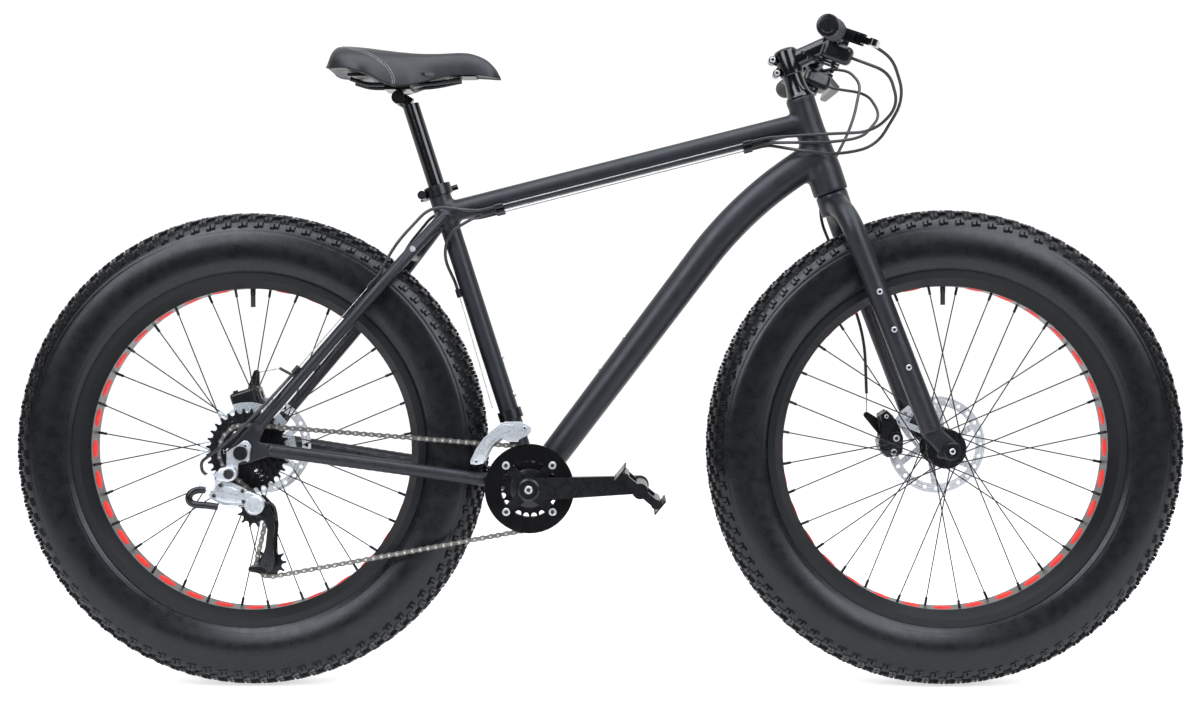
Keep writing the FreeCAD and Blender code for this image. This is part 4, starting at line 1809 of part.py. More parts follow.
def seat_collar():
    """Return the collar on the seat tube, its skewer with the nut, and the pin that the lever turns on."""
    low = seat_at(SEAT_TUBE_LENGTH - CLAMP_HEIGHT)
    ring = pipe(low, SEAT_TOP, CLAMP_RADIUS, SEAT_SLEEVE_RADIUS)
    place = clamp_place()
    half = CLAMP_EAR_HALF_WIDTH
    ears = disc(place, -half, half, CLAMP_EAR_RADIUS).cut(rod(low, SEAT_TOP, SEAT_SLEEVE_RADIUS))
    slit = Part.makeBox(2 * CLAMP_EAR_REACH, CLAMP_SLIT, 2 * CLAMP_HEIGHT,
                        Vec(-CLAMP_EAR_REACH, -CLAMP_SLIT / 2, -CLAMP_HEIGHT))
    slit = framed(slit, place, SEAT_BACK, ACROSS, SEAT_BACK.cross(ACROSS))
    skewer_hole = disc(place, -half, half, CLAMP_BOLT_RADIUS)
    collar = cut(fuse([ring, ears]), [slit, skewer_hole])
    nut = disc(place, -half - CLAMP_EAR_RADIUS, -half, CLAMP_EAR_RADIUS)
    cam = at_set(place, CLAMP_CAM_SET)
    eye = rod(cam - SEAT_UP * CLAMP_EYE_HALF, cam + SEAT_UP * CLAMP_EYE_HALF, CLAMP_EYE_RADIUS)
    pin = rod(cam - SEAT_UP * CLAMP_CAM_HALF, cam + SEAT_UP * CLAMP_CAM_HALF, CLAMP_CAM_BORE)
    shaft = disc(place, -half, CLAMP_CAM_SET, CLAMP_BOLT_RADIUS)
    return [collar, fuse([nut, shaft, eye, pin])]


def clamp_lever():
    """Return the seat clamp's lever, closed along the collar's left side."""
    cam = at_set(clamp_place(), CLAMP_CAM_SET)
    inner = CLAMP_EYE_HALF + RUN_GAP
    cheeks = [rod(cam + SEAT_UP * inner, cam + SEAT_UP * CLAMP_CAM_HALF, CLAMP_CAM_RADIUS),
              rod(cam - SEAT_UP * inner, cam - SEAT_UP * CLAMP_CAM_HALF, CLAMP_CAM_RADIUS)]
    start = at_set(clamp_place(), CLAMP_LEVER_SET)
    arm = rod(start, start - SEAT_BACK * CLAMP_LEVER_LENGTH, CLAMP_LEVER_RADIUS)
    tie = rod(start - SEAT_UP * CLAMP_CAM_HALF, start + SEAT_UP * CLAMP_CAM_HALF, CLAMP_LEVER_RADIUS)
    bore = rod(cam - SEAT_UP * CLAMP_CAM_HALF, cam + SEAT_UP * CLAMP_CAM_HALF, CLAMP_CAM_BORE + RUN_FIT)
    return fuse(cheeks + [arm, tie]).cut(bore)


def housing(points):
    return bent_rod(points, HOUSING_RADIUS)


def from_place(place, steps):
    return [place + Vec(*step) for step in steps]


def wires():
    """Return the bare wires between the stops."""
    half = STOP_LENGTH / 2
    lines = [(under_top_tube(STOP_REAR_REACH - half, angle), under_top_tube(STOP_FRONT_REACH + half, angle))
             for angle in STOP_ANGLES]
    foot, knee, _ = stay_points()[1]
    along = (knee - foot).normalize()
    upper, lower = [beside_stay(share) for share in STAY_STOP_SHARES]
    lines.append((upper + along * half, lower - along * half))
    lines.append((behind_seat_tube(SEAT_STOP_RISE) + SEAT_UP * half, BB + Vec(*FRONT_SHIFT_WIRE_END)))
    tip = brake_arm_tip(REAR_AXLE, REAR_CALIPER_ANGLE, REAR_ROTOR_SET)
    end = REAR_AXLE + Vec(*REAR_BRAKE_END)
    lines.append((end, tip - (tip - end).normalize() * ARM_TIP_RADIUS))
    return [rod(start, end, WIRE_RADIUS) for start, end in lines]


def brake_arm_tip(axle, angle, rotor_set):
    outward = polar(angle, 1)
    tip = polar(ARM_LEAN, ARM_LENGTH)
    place = axle + outward * (CALIPER_REACH + tip.z) + ACROSS.cross(outward) * tip.x
    return at_set(place, rotor_set + CALIPER_OUTER_DEPTH + RUN_GAP + ARM_THICKNESS / 2)


def bar_lead(start, end):
    """Return the end of a control's outlet and a place straight out from it."""
    return [end, end + (end - start).normalize() * CABLE_LEAD]


def cables():
    """Save the housings and wires that end on the frame, and the front brake's housing."""
    half = STOP_LENGTH / 2
    depth = (POD_TOP + POD_BOTTOM) / 2
    pod = bar_lead(on_bar_point(-POD_IN, depth, POD_FORWARD),
                   on_bar_point(-POD_IN, depth, POD_FORWARD + POD_HALF_DEPTH))
    barrel = bar_lead(on_bar_point(0, 0, LEVER_BARREL_FORWARD), on_bar_point(-BARREL_BACK, 0, BARREL_FORWARD))
    front_ends = [[under_top_tube(STOP_FRONT_REACH + step, angle) for step in (half + STOP_LEAD, half)]
                  for angle in STOP_ANGLES]
    rear_ends = [[under_top_tube(STOP_REAR_REACH - step, angle) for step in (half, half + STOP_LEAD)]
                 for angle in STOP_ANGLES]
    foot, knee, _ = stay_points()[1]
    along = (knee - foot).normalize()
    upper, lower = [beside_stay(share) for share in STAY_STOP_SHARES]
    seat_stop = behind_seat_tube(SEAT_STOP_RISE)
    guided = [mirror_point(upper + along * GUIDE_LEAD), mirror_point(lower - along * GUIDE_LEAD)]
    arrive = (half + CABLE_LEAD, half)
    routes = [
        pod + from_place(BAR, REAR_SHIFT_FRONT) + front_ends[0],
        [mirror_point(point) for point in pod] + from_place(BAR, FRONT_SHIFT_FRONT) + front_ends[1],
        barrel + from_place(BAR, REAR_BRAKE_FRONT) + front_ends[2],
        rear_ends[0] + from_place(SEAT_TOP, REAR_SHIFT_BACK) + [upper + along * step for step in arrive],
        rear_ends[1] + from_place(SEAT_TOP, FRONT_SHIFT_BACK)
        + [seat_stop + SEAT_UP * step for step in arrive],
        rear_ends[2] + from_place(SEAT_TOP, REAR_BRAKE_BACK) + guided
        + from_place(REAR_AXLE, [REAR_BRAKE_END]),
        [lower - along * step for step in reversed(arrive)] + from_place(REAR_AXLE, REAR_SHIFT_LOOP)
        + derailleur_entry(),
    ]
    save("cables", [housing(points) for points in routes] + wires())
    tip = brake_arm_tip(FRONT_AXLE, FRONT_CALIPER_ANGLE, FRONT_ROTOR_SET)
    end = tip + Vec(0, 0, FRONT_BRAKE_WIRE)
    wire = rod(end, tip + Vec(0, 0, ARM_TIP_RADIUS), WIRE_RADIUS)
    front_brake = [mirror_point(point) for point in barrel] + from_place(BAR, FRONT_BRAKE_HIGH)
    front_brake += from_place(FRONT_AXLE, FRONT_BRAKE_LOW) + [end]
    save("front_brake_housing", [housing(front_brake), wire])


def derailleur_entry():
    """Return a place behind the rear derailleur's arm and the place where the housing meets it."""
    _, pin, _ = link_axes()
    lift = pin if pin.z > 0 else pin * -1
    arm_end = LINK_ROOT + lift * B_ARM_LEAD
    return [arm_end + polar(ENTRY_ANGLE, B_ARM_RADIUS + CABLE_LEAD), arm_end + polar(ENTRY_ANGLE, B_ARM_RADIUS)]


os.makedirs("parts", exist_ok=True)
frame_tubes()
save("frame_fittings", bore_for_cables(bolts_and_stops()) + seat_collar())
save("seat_clamp_lever", [clamp_lever()])
front_nuts = (FRONT_HUB_ENDS[0] - RUN_GAP, FRONT_HUB_ENDS[1] + RUN_GAP)
rear_nuts = (FREEHUB_ENDS[0] - LOCKRING_LENGTH - RUN_GAP, REAR_HUB_ENDS[1] + RUN_GAP)
save("front_axle", [make_axle(FRONT_AXLE, FRONT_INNER_WIDTH, DROPOUT_THICKNESS, front_nuts)])
save("rear_axle", [make_axle(REAR_AXLE, REAR_INNER_WIDTH, DROPOUT_THICKNESS, rear_nuts)])
wheel("front", FRONT_AXLE, FRONT_HUB_ENDS, FRONT_FLANGE_SETS, FRONT_ROTOR_SET, [])
wheel("rear", REAR_AXLE, REAR_HUB_ENDS, REAR_FLANGE_SETS, REAR_ROTOR_SET, [spoke_protector()])
cassette()
crankset()
save("chain", chain_links())
rear_derailleur()
front_derailleur()
brakes(fork())
stem()
handlebar()
controls()
seat()
cables()
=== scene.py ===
import json
import math

import bmesh
import bpy
import numpy as np
from mathutils import Matrix, Vector


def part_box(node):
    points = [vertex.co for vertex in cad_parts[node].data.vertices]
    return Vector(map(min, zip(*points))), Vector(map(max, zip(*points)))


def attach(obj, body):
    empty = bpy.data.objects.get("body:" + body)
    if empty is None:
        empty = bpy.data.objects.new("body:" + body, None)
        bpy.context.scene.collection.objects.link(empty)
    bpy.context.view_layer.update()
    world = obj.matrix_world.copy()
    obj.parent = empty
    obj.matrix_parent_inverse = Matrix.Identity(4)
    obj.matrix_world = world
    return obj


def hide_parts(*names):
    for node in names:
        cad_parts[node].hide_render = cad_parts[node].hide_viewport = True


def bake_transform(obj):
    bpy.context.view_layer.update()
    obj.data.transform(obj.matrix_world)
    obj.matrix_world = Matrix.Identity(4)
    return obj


# Looks of the fat tire bike over its CAD frame: welded skins, knobbed tires, padded saddle, cables, finishes.
# Lengths are in metres unless a name says millimetres. +X is forward, +Y the rider's left, +Z up.

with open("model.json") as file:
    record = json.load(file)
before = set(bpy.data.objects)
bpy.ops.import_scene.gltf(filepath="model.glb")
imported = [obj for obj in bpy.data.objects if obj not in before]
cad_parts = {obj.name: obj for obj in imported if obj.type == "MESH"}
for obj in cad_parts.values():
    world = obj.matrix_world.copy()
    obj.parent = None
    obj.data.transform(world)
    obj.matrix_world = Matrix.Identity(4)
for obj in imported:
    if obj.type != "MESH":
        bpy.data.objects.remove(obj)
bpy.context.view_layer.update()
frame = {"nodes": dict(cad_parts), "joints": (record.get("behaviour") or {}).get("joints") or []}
NODES = frame["nodes"]
TURN = 2 * math.pi

# A cable thinner than this is a bare wire
THIN_WIRE_MM = 1.2
# A solid smaller than this on the frame or the fork is a bolt
BOLT_SIZE_MM = 16.0
# A solid longer than this on the rear hub is its spoke protector
PROTECTOR_WIDTH_MM = 100.0
# A solid narrower than this inside a tire is the rim strip
STRIP_WIDTH_MM = 40.0
# The rim's bed lies inside this radius and this distance from the wheel's middle
RIM_BED_RADIUS_MM = 264.5
RIM_BED_HALF_MM = 22.5
# The crank's hub lies within this distance of its axis, and its arms have edges rounded this much
HUB_REACH_MM = 30.0
CRANK_EDGE_MM = 2.5
# Corners of CAD meshes closer than this are one corner
SAME_SPOT_MM = 0.001
# Edges of built pieces that turn by more than this many degrees stay sharp
SHARP_ANGLE = 26


def mm(length):
    return length / 1000


# Shader helpers

# The share of a noise's range that its blobs take up
NOISE_RANGE = (0.3, 0.7)


def shade(code):
    """Turn an sRGB hex code into the linear colour that a shader takes."""
    parts = [int(code[start:start + 2], 16) / 255 for start in (1, 3, 5)]
    return [c / 12.92 if c <= 0.04045 else ((c + 0.055) / 1.055) ** 2.4 for c in parts] + [1.0]


def add(tree, kind, inputs=None, **settings):
    """Add a shader node, set its properties, and set or link its inputs."""
    node = tree.nodes.new("ShaderNode" + kind)
    for name, value in settings.items():
        setattr(node, name, value)
    for name, value in (inputs or {}).items():
        if isinstance(value, bpy.types.NodeSocket):
            tree.links.new(value, node.inputs[name])
        else:
            node.inputs[name].default_value = value
    return node


def new_material(name):
    material = bpy.data.materials.new(name)
    material.use_nodes = True
    material.node_tree.nodes.clear()
    return material, material.node_tree


def tones(tree, where, dark, light, rough, blotch_mm, gloss_mm):
    """Return the colour and roughness of a surface with two close tones in blotches and uneven gloss."""
    blotch = add(tree, "TexNoise", {"Vector": where, "Scale": 1000 / blotch_mm, "Detail": 4.0})
    ramp = add(tree, "ValToRGB", {"Fac": blotch.outputs["Fac"]})
    for stop, share, code in zip(ramp.color_ramp.elements, NOISE_RANGE, (dark, light)):
        stop.position = share
        stop.color = shade(code)
    wear = add(tree, "TexNoise", {"Vector": where, "Scale": 1000 / gloss_mm, "Detail": 3.0})
    gloss = add(tree, "MapRange", {"Value": wear.outputs["Fac"],
                                   "From Min": NOISE_RANGE[0], "From Max": NOISE_RANGE[1],
                                   "To Min": rough[0], "To Max": rough[1]})
    return {"Base Color": ramp.outputs["Color"], "Roughness": gloss.outputs["Result"]}


def close(tree, values):
    """Add the surface with those inputs and put it out."""
    surface = add(tree, "BsdfPrincipled", values)
    add(tree, "OutputMaterial", {"Surface": surface.outputs["BSDF"]})


def finish(name, dark, light, rough, blotch_mm, grain_mm, relief_mm, place=None, **inputs):
    """Return a finish with two close tones in blotches, an uneven gloss and a fine grain."""
    material, tree = new_material(name)
    where = place(tree) if place else add(tree, "TexCoord").outputs["Object"]
    values = tones(tree, where, dark, light, rough, blotch_mm, blotch_mm / 3)
    grain = add(tree, "TexNoise", {"Vector": where, "Scale": 1000 / grain_mm, "Detail": 2.0})
    bump = add(tree, "Bump", {"Height": grain.outputs["Fac"], "Distance": mm(relief_mm)})
    values["Normal"] = bump.outputs["Normal"]
    values.update({key.replace("_", " "): value for key, value in inputs.items()})
    close(tree, values)
    return material


def turned_about(axle):
    """Return coordinates that run with the turning marks of a disc: radius, a slow angle and width."""
    def place(tree):
        here = add(tree, "TexCoord").outputs["Object"]
        local = add(tree, "VectorMath", {0: here, 1: (-axle.x, 0.0, -axle.z)}, operation="ADD")
        split = add(tree, "SeparateXYZ", {"Vector": local.outputs["Vector"]}).outputs
        flat = add(tree, "CombineXYZ", {"X": split["X"], "Y": split["Z"]})
        radius = add(tree, "VectorMath", {0: flat.outputs["Vector"]}, operation="LENGTH").outputs["Value"]
        angle = add(tree, "Math", {0: split["Z"], 1: split["X"]}, operation="ARCTAN2").outputs["Value"]
        slow = add(tree, "Math", {0: angle, 1: mm(2.0)}, operation="MULTIPLY").outputs["Value"]
        return add(tree, "CombineXYZ", {"X": radius, "Y": slow, "Z": split["Y"]}).outputs["Vector"]
    return place


def hide(name, dark, light, rough, cell_mm, relief_mm):
    """Return a leather-like cover with pebbled cells."""
    material, tree = new_material(name)
    where = add(tree, "TexCoord").outputs["Object"]
    values = tones(tree, where, dark, light, rough, 30.0, 12.0)
    cells = add(tree, "TexVoronoi", {"Vector": where, "Scale": 1000 / cell_mm})
    bump = add(tree, "Bump", {"Height": cells.outputs["Distance"], "Distance": mm(relief_mm),
                              "Strength": 0.6})
    values["Normal"] = bump.outputs["Normal"]
    values["Specular IOR Level"] = 0.3
    close(tree, values)
    return material


def middle(node):
    low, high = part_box(node)
    return (low + high) / 2


FRONT_AXLE = middle("front_rotor")
REAR_AXLE = middle("rear_rotor")
BRACKET = middle("bash_guard")

# Finishes, each named for the stuff that it stands for. Grains that are finer than a pixel in the real thing,
# such as those of castings and plating, are drawn some millimetres wide, so that they show at all.

# Powder-coated aluminium: nearly black, cool, with wide soft highlights along the tubes
FRAME_PAINT = finish("matte_charcoal_paint", "#131418", "#17181d", (0.36, 0.46), 60.0, 0.8, 0.008,
                     Specular_IOR_Level=0.32)
# Sprayed enamel on the bar, the stem and the seatpost: deep black with sharp bright lines
GLOSS_PAINT = finish("gloss_black_paint", "#050506", "#08080a", (0.10, 0.18), 40.0, 1.5, 0.004)
# Anodised cast aluminium: even black with a satin sheen
SATIN_ALLOY = finish("black_anodised_alloy", "#08080a", "#0d0d0f", (0.24, 0.34), 25.0, 2.0, 0.002,
                     Specular_IOR_Level=0.35)
# Tumbled cast aluminium: pale grey with a blurred mirror
BRIGHT_ALLOY = finish("cast_silver_alloy", "#b3b5b9", "#c3c5c8", (0.24, 0.32), 30.0, 5.0, 0.004, Metallic=0.6)
# Zinc-plated turned steel: small bright dots
BOLT_STEEL = finish("zinc_plated_steel", "#b4b5b8", "#cbccce", (0.22, 0.34), 8.0, 2.0, 0.002, Metallic=0.6)
# Blackened stamped steel: dark teeth with a dull metal shine
DARK_STEEL = finish("blackened_steel", "#17171a", "#222226", (0.28, 0.42), 10.0, 0.5, 0.008, Metallic=0.7)
# Stamped steel under oil: a warm grey that changes from link to link
CHAIN_STEEL = finish("oiled_chain_steel", "#625f59", "#7b776f", (0.26, 0.40), 6.0, 1.5, 0.003, Metallic=0.7)
# Coated drawn wire: thin dark lines with a faint gleam
SPOKE_STEEL = finish("black_spoke_steel", "#111113", "#1a1a1c", (0.25, 0.35), 20.0, 0.5, 0.004, Metallic=0.6)
# Vulcanised rubber from a polished mould: black, with broad grey reflections on the sidewalls
TIRE_RUBBER = finish("tire_rubber", "#09090b", "#0e0f11", (0.24, 0.34), 45.0, 0.7, 0.006,
                     Specular_IOR_Level=0.3)
# Moulded soft rubber: dull dark grey that swallows highlights
GRIP_RUBBER = finish("soft_grip_rubber", "#17181a", "#1f2022", (0.55, 0.70), 15.0, 0.5, 0.030)
# Butyl rubber: dull black
TUBE_RUBBER = finish("butyl_rubber", "#111112", "#171718", (0.50, 0.62), 20.0, 0.6, 0.020)
# Pressed nylon tape: a flat clear red
RED_STRIP = finish("red_nylon_strip", "#cf1a12", "#e0241a", (0.45, 0.60), 12.0, 0.8, 0.010,
                   Specular_IOR_Level=0.2)
# Moulded ABS: black with a smooth satin skin
POD_PLASTIC = finish("moulded_black_plastic", "#0a0b0d", "#101113", (0.22, 0.34), 14.0, 2.0, 0.004,
                     Specular_IOR_Level=0.35)
# Moulded nylon: milky, with a soft gloss
WHITE_PLASTIC = finish("white_moulded_plastic", "#b9bac0", "#c6c7cc", (0.35, 0.45), 14.0, 0.5, 0.010)
# Extruded PVC: black with one long highlight
CABLE_SHEATH = finish("black_cable_sheath", "#0c0c0e", "#121214", (0.30, 0.40), 20.0, 0.5, 0.006)
# Stranded bare steel: a thin bright line
WIRE_STEEL = finish("stranded_steel_wire", "#8f9092", "#acadaf", (0.25, 0.35), 4.0, 0.3, 0.020, Metallic=1.0)
# Near black: painted shade in the broached hollow of a bolt, always in shade, and on the discs that stand for
# holes, each a dark dot; the same dark also colours pads, pins and the b-bolt's cap
DARK_PARTS_AND_HOLE_SHADE = finish("dark_parts_and_hole_shade", "#060607", "#0a0a0b", (0.5, 0.6), 4.0, 0.5, 0.004)
# Spun polyester: dull grey dashes
THREAD = finish("grey_stitching_thread", "#8d8d8c", "#a3a3a1", (0.60, 0.75), 3.0, 0.3, 0.040)
# Embossed synthetic leather: a pebble that breaks up the shine
COVER = hide("black_saddle_leather", "#101012", "#16161a", (0.36, 0.48), 0.9, 0.05)
# Moulded polycarbonate: only its edge and its shine show
CLEAR = finish("clear_plastic", "#d5dadd", "#e2e6e8", (0.10, 0.18), 30.0, 1.0, 0.002, Alpha=0.2)
# Brushed bare aluminium, its grey darkened by painted shade of the tire: a brownish grey band
SHADED_RIM_BED = finish("brushed_rim_bed_painted_shade", "#383735", "#484642", (0.34, 0.46), 25.0, 2.0, 0.004)


def disc_steel(name, axle):
    """Return ground stainless steel: pale, with turning marks that catch the light in rings."""
    return finish(name, "#c9cacd", "#dcdde0", (0.22, 0.34), 9.0, 1.5, 0.001, turned_about(axle),
                  Metallic=0.55)


def rim_anodising(name, axle):
    """Return anodised rolled aluminium: black, with a faint sheen that runs round the rim."""
    return finish(name, "#0e0f11", "#141517", (0.30, 0.40), 30.0, 0.4, 0.006, turned_about(axle),
                  Specular_IOR_Level=0.25)


FRONT_DISC = disc_steel("front_disc_steel", FRONT_AXLE)
REAR_DISC = disc_steel("rear_disc_steel", REAR_AXLE)
FRONT_RIM = rim_anodising("front_rim_anodising", FRONT_AXLE)
REAR_RIM = rim_anodising("rear_rim_anodising", REAR_AXLE)


# Dressing the CAD nodes

def paint(name, base, *rules):
    """Give a node its finish, and each rule's finish to the faces whose middle passes the rule's test."""
    mesh = NODES[name].data
    mesh.materials.clear()
    mesh.polygons.foreach_set("material_index", [0] * len(mesh.polygons))
    mesh.materials.append(base)
    for index, (material, test) in enumerate(rules, 1):
        mesh.materials.append(material)
        for face in mesh.polygons:
            if test(face.center):
                face.material_index = index


def near_axis(axle, reach_mm):
    """Return a test for points within a distance of a crosswise axis."""
    return lambda point: math.hypot(point.x - axle.x, point.z - axle.z) < mm(reach_mm)


def on_bed(axle):
    """Return a test for points on the rim's bed, its innermost band."""
    inside = near_axis(axle, RIM_BED_RADIUS_MM)
    return lambda point: inside(point) and abs(point.y) < mm(RIM_BED_HALF_MM)


def soften(name, width_mm):
    """Round a node's sharp edges a little, so that they catch the light."""
    NODES[name].modifiers.new("joined_faces", "WELD").merge_threshold = mm(SAME_SPOT_MM)
    bevel = NODES[name].modifiers.new("worn_edges", "BEVEL")
    bevel.width = mm(width_mm)
    bevel.segments = 2
    bevel.limit_method = "ANGLE"
    bevel.angle_limit = math.radians(40)


def islands(mesh):
    """Return the faces of each separate solid in a mesh, as lists of face numbers."""
    spots = {}
    labels = [spots.setdefault(tuple(round(axis / mm(SAME_SPOT_MM)) for axis in point.co), len(spots))
              for point in mesh.vertices]
    parent = list(range(len(spots)))

    def root(label):
        while parent[label] != label:
            parent[label] = parent[parent[label]]
            label = parent[label]
        return label

    for face in mesh.polygons:
        first = root(labels[face.vertices[0]])
        for corner in face.vertices[1:]:
            parent[root(labels[corner])] = first
    groups = {}
    for face in mesh.polygons:
        groups.setdefault(root(labels[face.vertices[0]]), []).append(face.index)
    return list(groups.values())


def corners_of(mesh, group):
    """Return the places of the corners of some of a mesh's faces."""
    numbers = {corner for index in group for corner in mesh.polygons[index].vertices}
    return np.array([mesh.vertices[number].co for number in numbers])


def extent(mesh, group):
    """Return the lowest and highest corner of some of a mesh's faces."""
    corners = corners_of(mesh, group)
    return Vector(corners.min(axis=0)), Vector(corners.max(axis=0))


def size_of(mesh, group):
    low, high = extent(mesh, group)
    return high - low


def thin(mesh, group):
    """Test for a long rod as thin as a wire, by its volume and its surface."""
    faces = [mesh.polygons[index] for index in group]
    area = sum(face.area for face in faces)
    volume = sum(face.center.dot(face.normal) * face.area / 3 for face in faces)
    return 2 * volume / area < mm(THIN_WIRE_MM)


def small(limit_mm):
    """Return a test for solids that fit in a box with that diagonal."""
    return lambda mesh, group: size_of(mesh, group).length < mm(limit_mm)


def narrow(limit_mm):
    """Return a test for solids no wider than that across the bike."""
    return lambda mesh, group: size_of(mesh, group).y < mm(limit_mm)


def wide(limit_mm):
    """Return a test for solids longer than that along the bike."""
    return lambda mesh, group: size_of(mesh, group).x > mm(limit_mm)


def paint_solids(name, base, material, test):
    """Give a node its finish, and another to the separate solids that pass a test."""
    mesh = NODES[name].data
    chosen = [index for group in islands(mesh) if test(mesh, group) for index in group]
    paint(name, base)
    mesh.materials.append(material)
    for index in chosen:
        mesh.polygons[index].material_index = 1


def take(name, node, test):
    """Return a new mesh with the solids of a CAD node that pass a test."""
    source = NODES[node].data
    kept = {index for group in islands(source) if test(source, group) for index in group}
    part = bmesh.new()
    part.from_mesh(source)
    bmesh.ops.delete(part, geom=[face for face in part.faces if face.index not in kept], context="FACES")
    mesh = bpy.data.meshes.new(name)
    part.to_mesh(mesh)
    part.free()
    mesh.materials.clear()
    return mesh


is_bolt = small(BOLT_SIZE_MM)
NODE_FINISHES = (
    (BRIGHT_ALLOY, "rear_derailleur_body", "derailleur_outer_link", "derailleur_inner_link",
     "derailleur_knuckle", "front_derailleur_cage"),
    (POD_PLASTIC, "derailleur_cage", "guide_pulley", "tension_pulley", "bar_controls", "saddle_base",
     "thumb_lever_right", "thumb_lever_left", "release_lever_right", "release_lever_left",
     "front_brake_arm", "rear_brake_arm"),
    (GLOSS_PAINT, "stem", "handlebar", "seatpost", "bash_guard", "brake_lever_right", "brake_lever_left"),
    (SATIN_ALLOY, "crank_arms", "pedal_right", "pedal_left", "front_hub", "front_brake_caliper",
     "rear_brake_caliper", "seat_clamp_lever", "front_derailleur_body"),
    (DARK_STEEL, "chainrings", "cassette", "rear_axle", "front_axle"),
    (SPOKE_STEEL, "front_spokes", "rear_spokes"),
    (BOLT_STEEL, "chainring_bolts"),
    (CHAIN_STEEL, "chain"),
    (GRIP_RUBBER, "grips"),
    (FRONT_DISC, "front_rotor"),
    (REAR_DISC, "rear_rotor"),
)
for material, *names in NODE_FINISHES:
    for name in names:
        paint(name, material)
paint("crank_axles", BOLT_STEEL, (SATIN_ALLOY, near_axis(BRACKET, HUB_REACH_MM)))
# The rims' beds take brushed aluminium darkened with painted shade
paint("front_rim", FRONT_RIM, (SHADED_RIM_BED, on_bed(FRONT_AXLE)))
paint("rear_rim", REAR_RIM, (SHADED_RIM_BED, on_bed(REAR_AXLE)))
soften("crank_arms", CRANK_EDGE_MM)
paint_solids("front_brake_housing", CABLE_SHEATH, WIRE_STEEL, thin)
paint_solids("frame_fittings", SATIN_ALLOY, BOLT_STEEL, is_bolt)
paint_solids("rear_hub", SATIN_ALLOY, CLEAR, wide(PROTECTOR_WIDTH_MM))
for name in ("front_inner_tube", "rear_inner_tube"):
    paint_solids(name, TUBE_RUBBER, RED_STRIP, narrow(STRIP_WIDTH_MM))


# Making new pieces

def piece(name, mesh, body, materials, *stands_for):
    """Show a mesh as a piece that rides on a body and stands for those CAD nodes."""
    obj = bpy.data.objects.new(name, mesh)
    bpy.context.scene.collection.objects.link(obj)
    for material in materials:
        mesh.materials.append(material)
    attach(obj, body)
    if stands_for:
        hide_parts(*stands_for)
    return obj


def mesh_of(name, points, faces):
    mesh = bpy.data.meshes.new(name)
    mesh.from_pydata(points, [], faces)
    mesh.update()
    mesh.polygons.foreach_set("use_smooth", [True] * len(faces))
    return mesh


def smooth_line(points, steps):
    """Return a Catmull-Rom line through the points."""
    points = [Vector(point) for point in points]
    ends = [2 * points[0] - points[1]] + points + [2 * points[-1] - points[-2]]
    line = []
    for before, start, end, after in zip(ends, ends[1:], ends[2:], ends[3:]):
        for step in range(steps):
            t = step / steps
            line.append((2 * start + (end - before) * t + (2 * before - 5 * start + 4 * end - after) * t ** 2
                         + (3 * start - before - 3 * end + after) * t ** 3) / 2)
    return line + [points[-1]]


def around(axle, angle, radius_mm, across_mm):
    """Return a place by its angle and radius about an axle and its place across."""
    return (axle.x + mm(radius_mm) * math.cos(angle), mm(across_mm), axle.z + mm(radius_mm) * math.sin(angle))


def side_place(centre, x, z, across):
    """Return a place by its distances in millimetres from a centre in the side view, and its place across."""
    return Vector((centre.x + mm(x), mm(across), centre.z + mm(z)))


def solid_middles(node, test):
    """Return the middle of each solid of a CAD node that passes a test."""
    mesh = NODES[node].data
    return [sum(extent(mesh, group), Vector()) / 2 for group in islands(mesh) if test(mesh, group)]


# Building small solids into one mesh

def round_about(first, second, sides):
    """Return the directions from a circle's middle to its points, starting with the first direction."""
    turns = [TURN * side / sides for side in range(sides)]
    return [first * math.cos(turn) + second * math.sin(turn) for turn in turns]


def join_rings(part, low, high, material=0):
    """Add the band of faces between two rings of points, either of which may be one point repeated."""
    for side in range(len(low)):
        corners = dict.fromkeys((low[side - 1], low[side], high[side], high[side - 1]))
        part.faces.new(list(corners)).material_index = material


def add_plate(part, centre, outline, near, far, edge, material=0, lean=0.0):
    """Add a plate with rounded edges: its outline, in millimetres about a centre, is seen from the right.

    It reaches from near to far across the bike, and lean moves it across by that much for each millimetre
    forward.
    """
    known = set(part.faces)
    walls = [[part.verts.new((centre.x + mm(x), mm(across + lean * x), centre.z + mm(z))) for x, z in outline]
             for across in (near, far)]
    caps = [part.faces.new(wall) for wall in walls]
    join_rings(part, *walls)
    rims = [rim for cap in caps for rim in cap.edges]
    bmesh.ops.bevel(part, geom=rims, offset=mm(edge), segments=3, profile=0.5, affect="EDGES",
                    clamp_overlap=True)
    for face in part.faces:
        if face not in known:
            face.material_index = material


def add_turned(part, place, axis, profile, material=0, sides=32, ring=False):
    """Add a body turned about an axis: its profile gives distances along it and radii, in millimetres."""
    along = Vector(axis).normalized()
    first = along.orthogonal().normalized()
    spokes = round_about(first, along.cross(first), sides)
    rings = []
    for distance, radius in profile:
        centre = Vector(place) + along * mm(distance)
        if radius:
            rings.append([part.verts.new(centre + spoke * mm(radius)) for spoke in spokes])
        else:
            rings.append([part.verts.new(centre)] * sides)
    if ring:
        rings.append(rings[0])
    materials = material if isinstance(material, tuple) else (material,) * len(rings)
    for low, high, number in zip(rings, rings[1:], materials):
        join_rings(part, low, high, number)


def add_rod(part, route, radius, material=0, sides=12, steps=6):
    """Add a round rod with closed ends along a smooth line through places in metres."""
    line = smooth_line(route, steps)
    normal = (line[1] - line[0]).orthogonal().normalized()
    rings = [[part.verts.new(line[0])] * sides]
    for index, spot in enumerate(line):
        along = (line[min(index + 1, len(line) - 1)] - line[max(index - 1, 0)]).normalized()
        normal = (normal - along * normal.dot(along)).normalized()
        spokes = round_about(normal, along.cross(normal), sides)
        rings.append([part.verts.new(spot + spoke * mm(radius)) for spoke in spokes])
    rings.append([part.verts.new(line[-1])] * sides)
    for low, high in zip(rings, rings[1:]):
        join_rings(part, low, high, material)


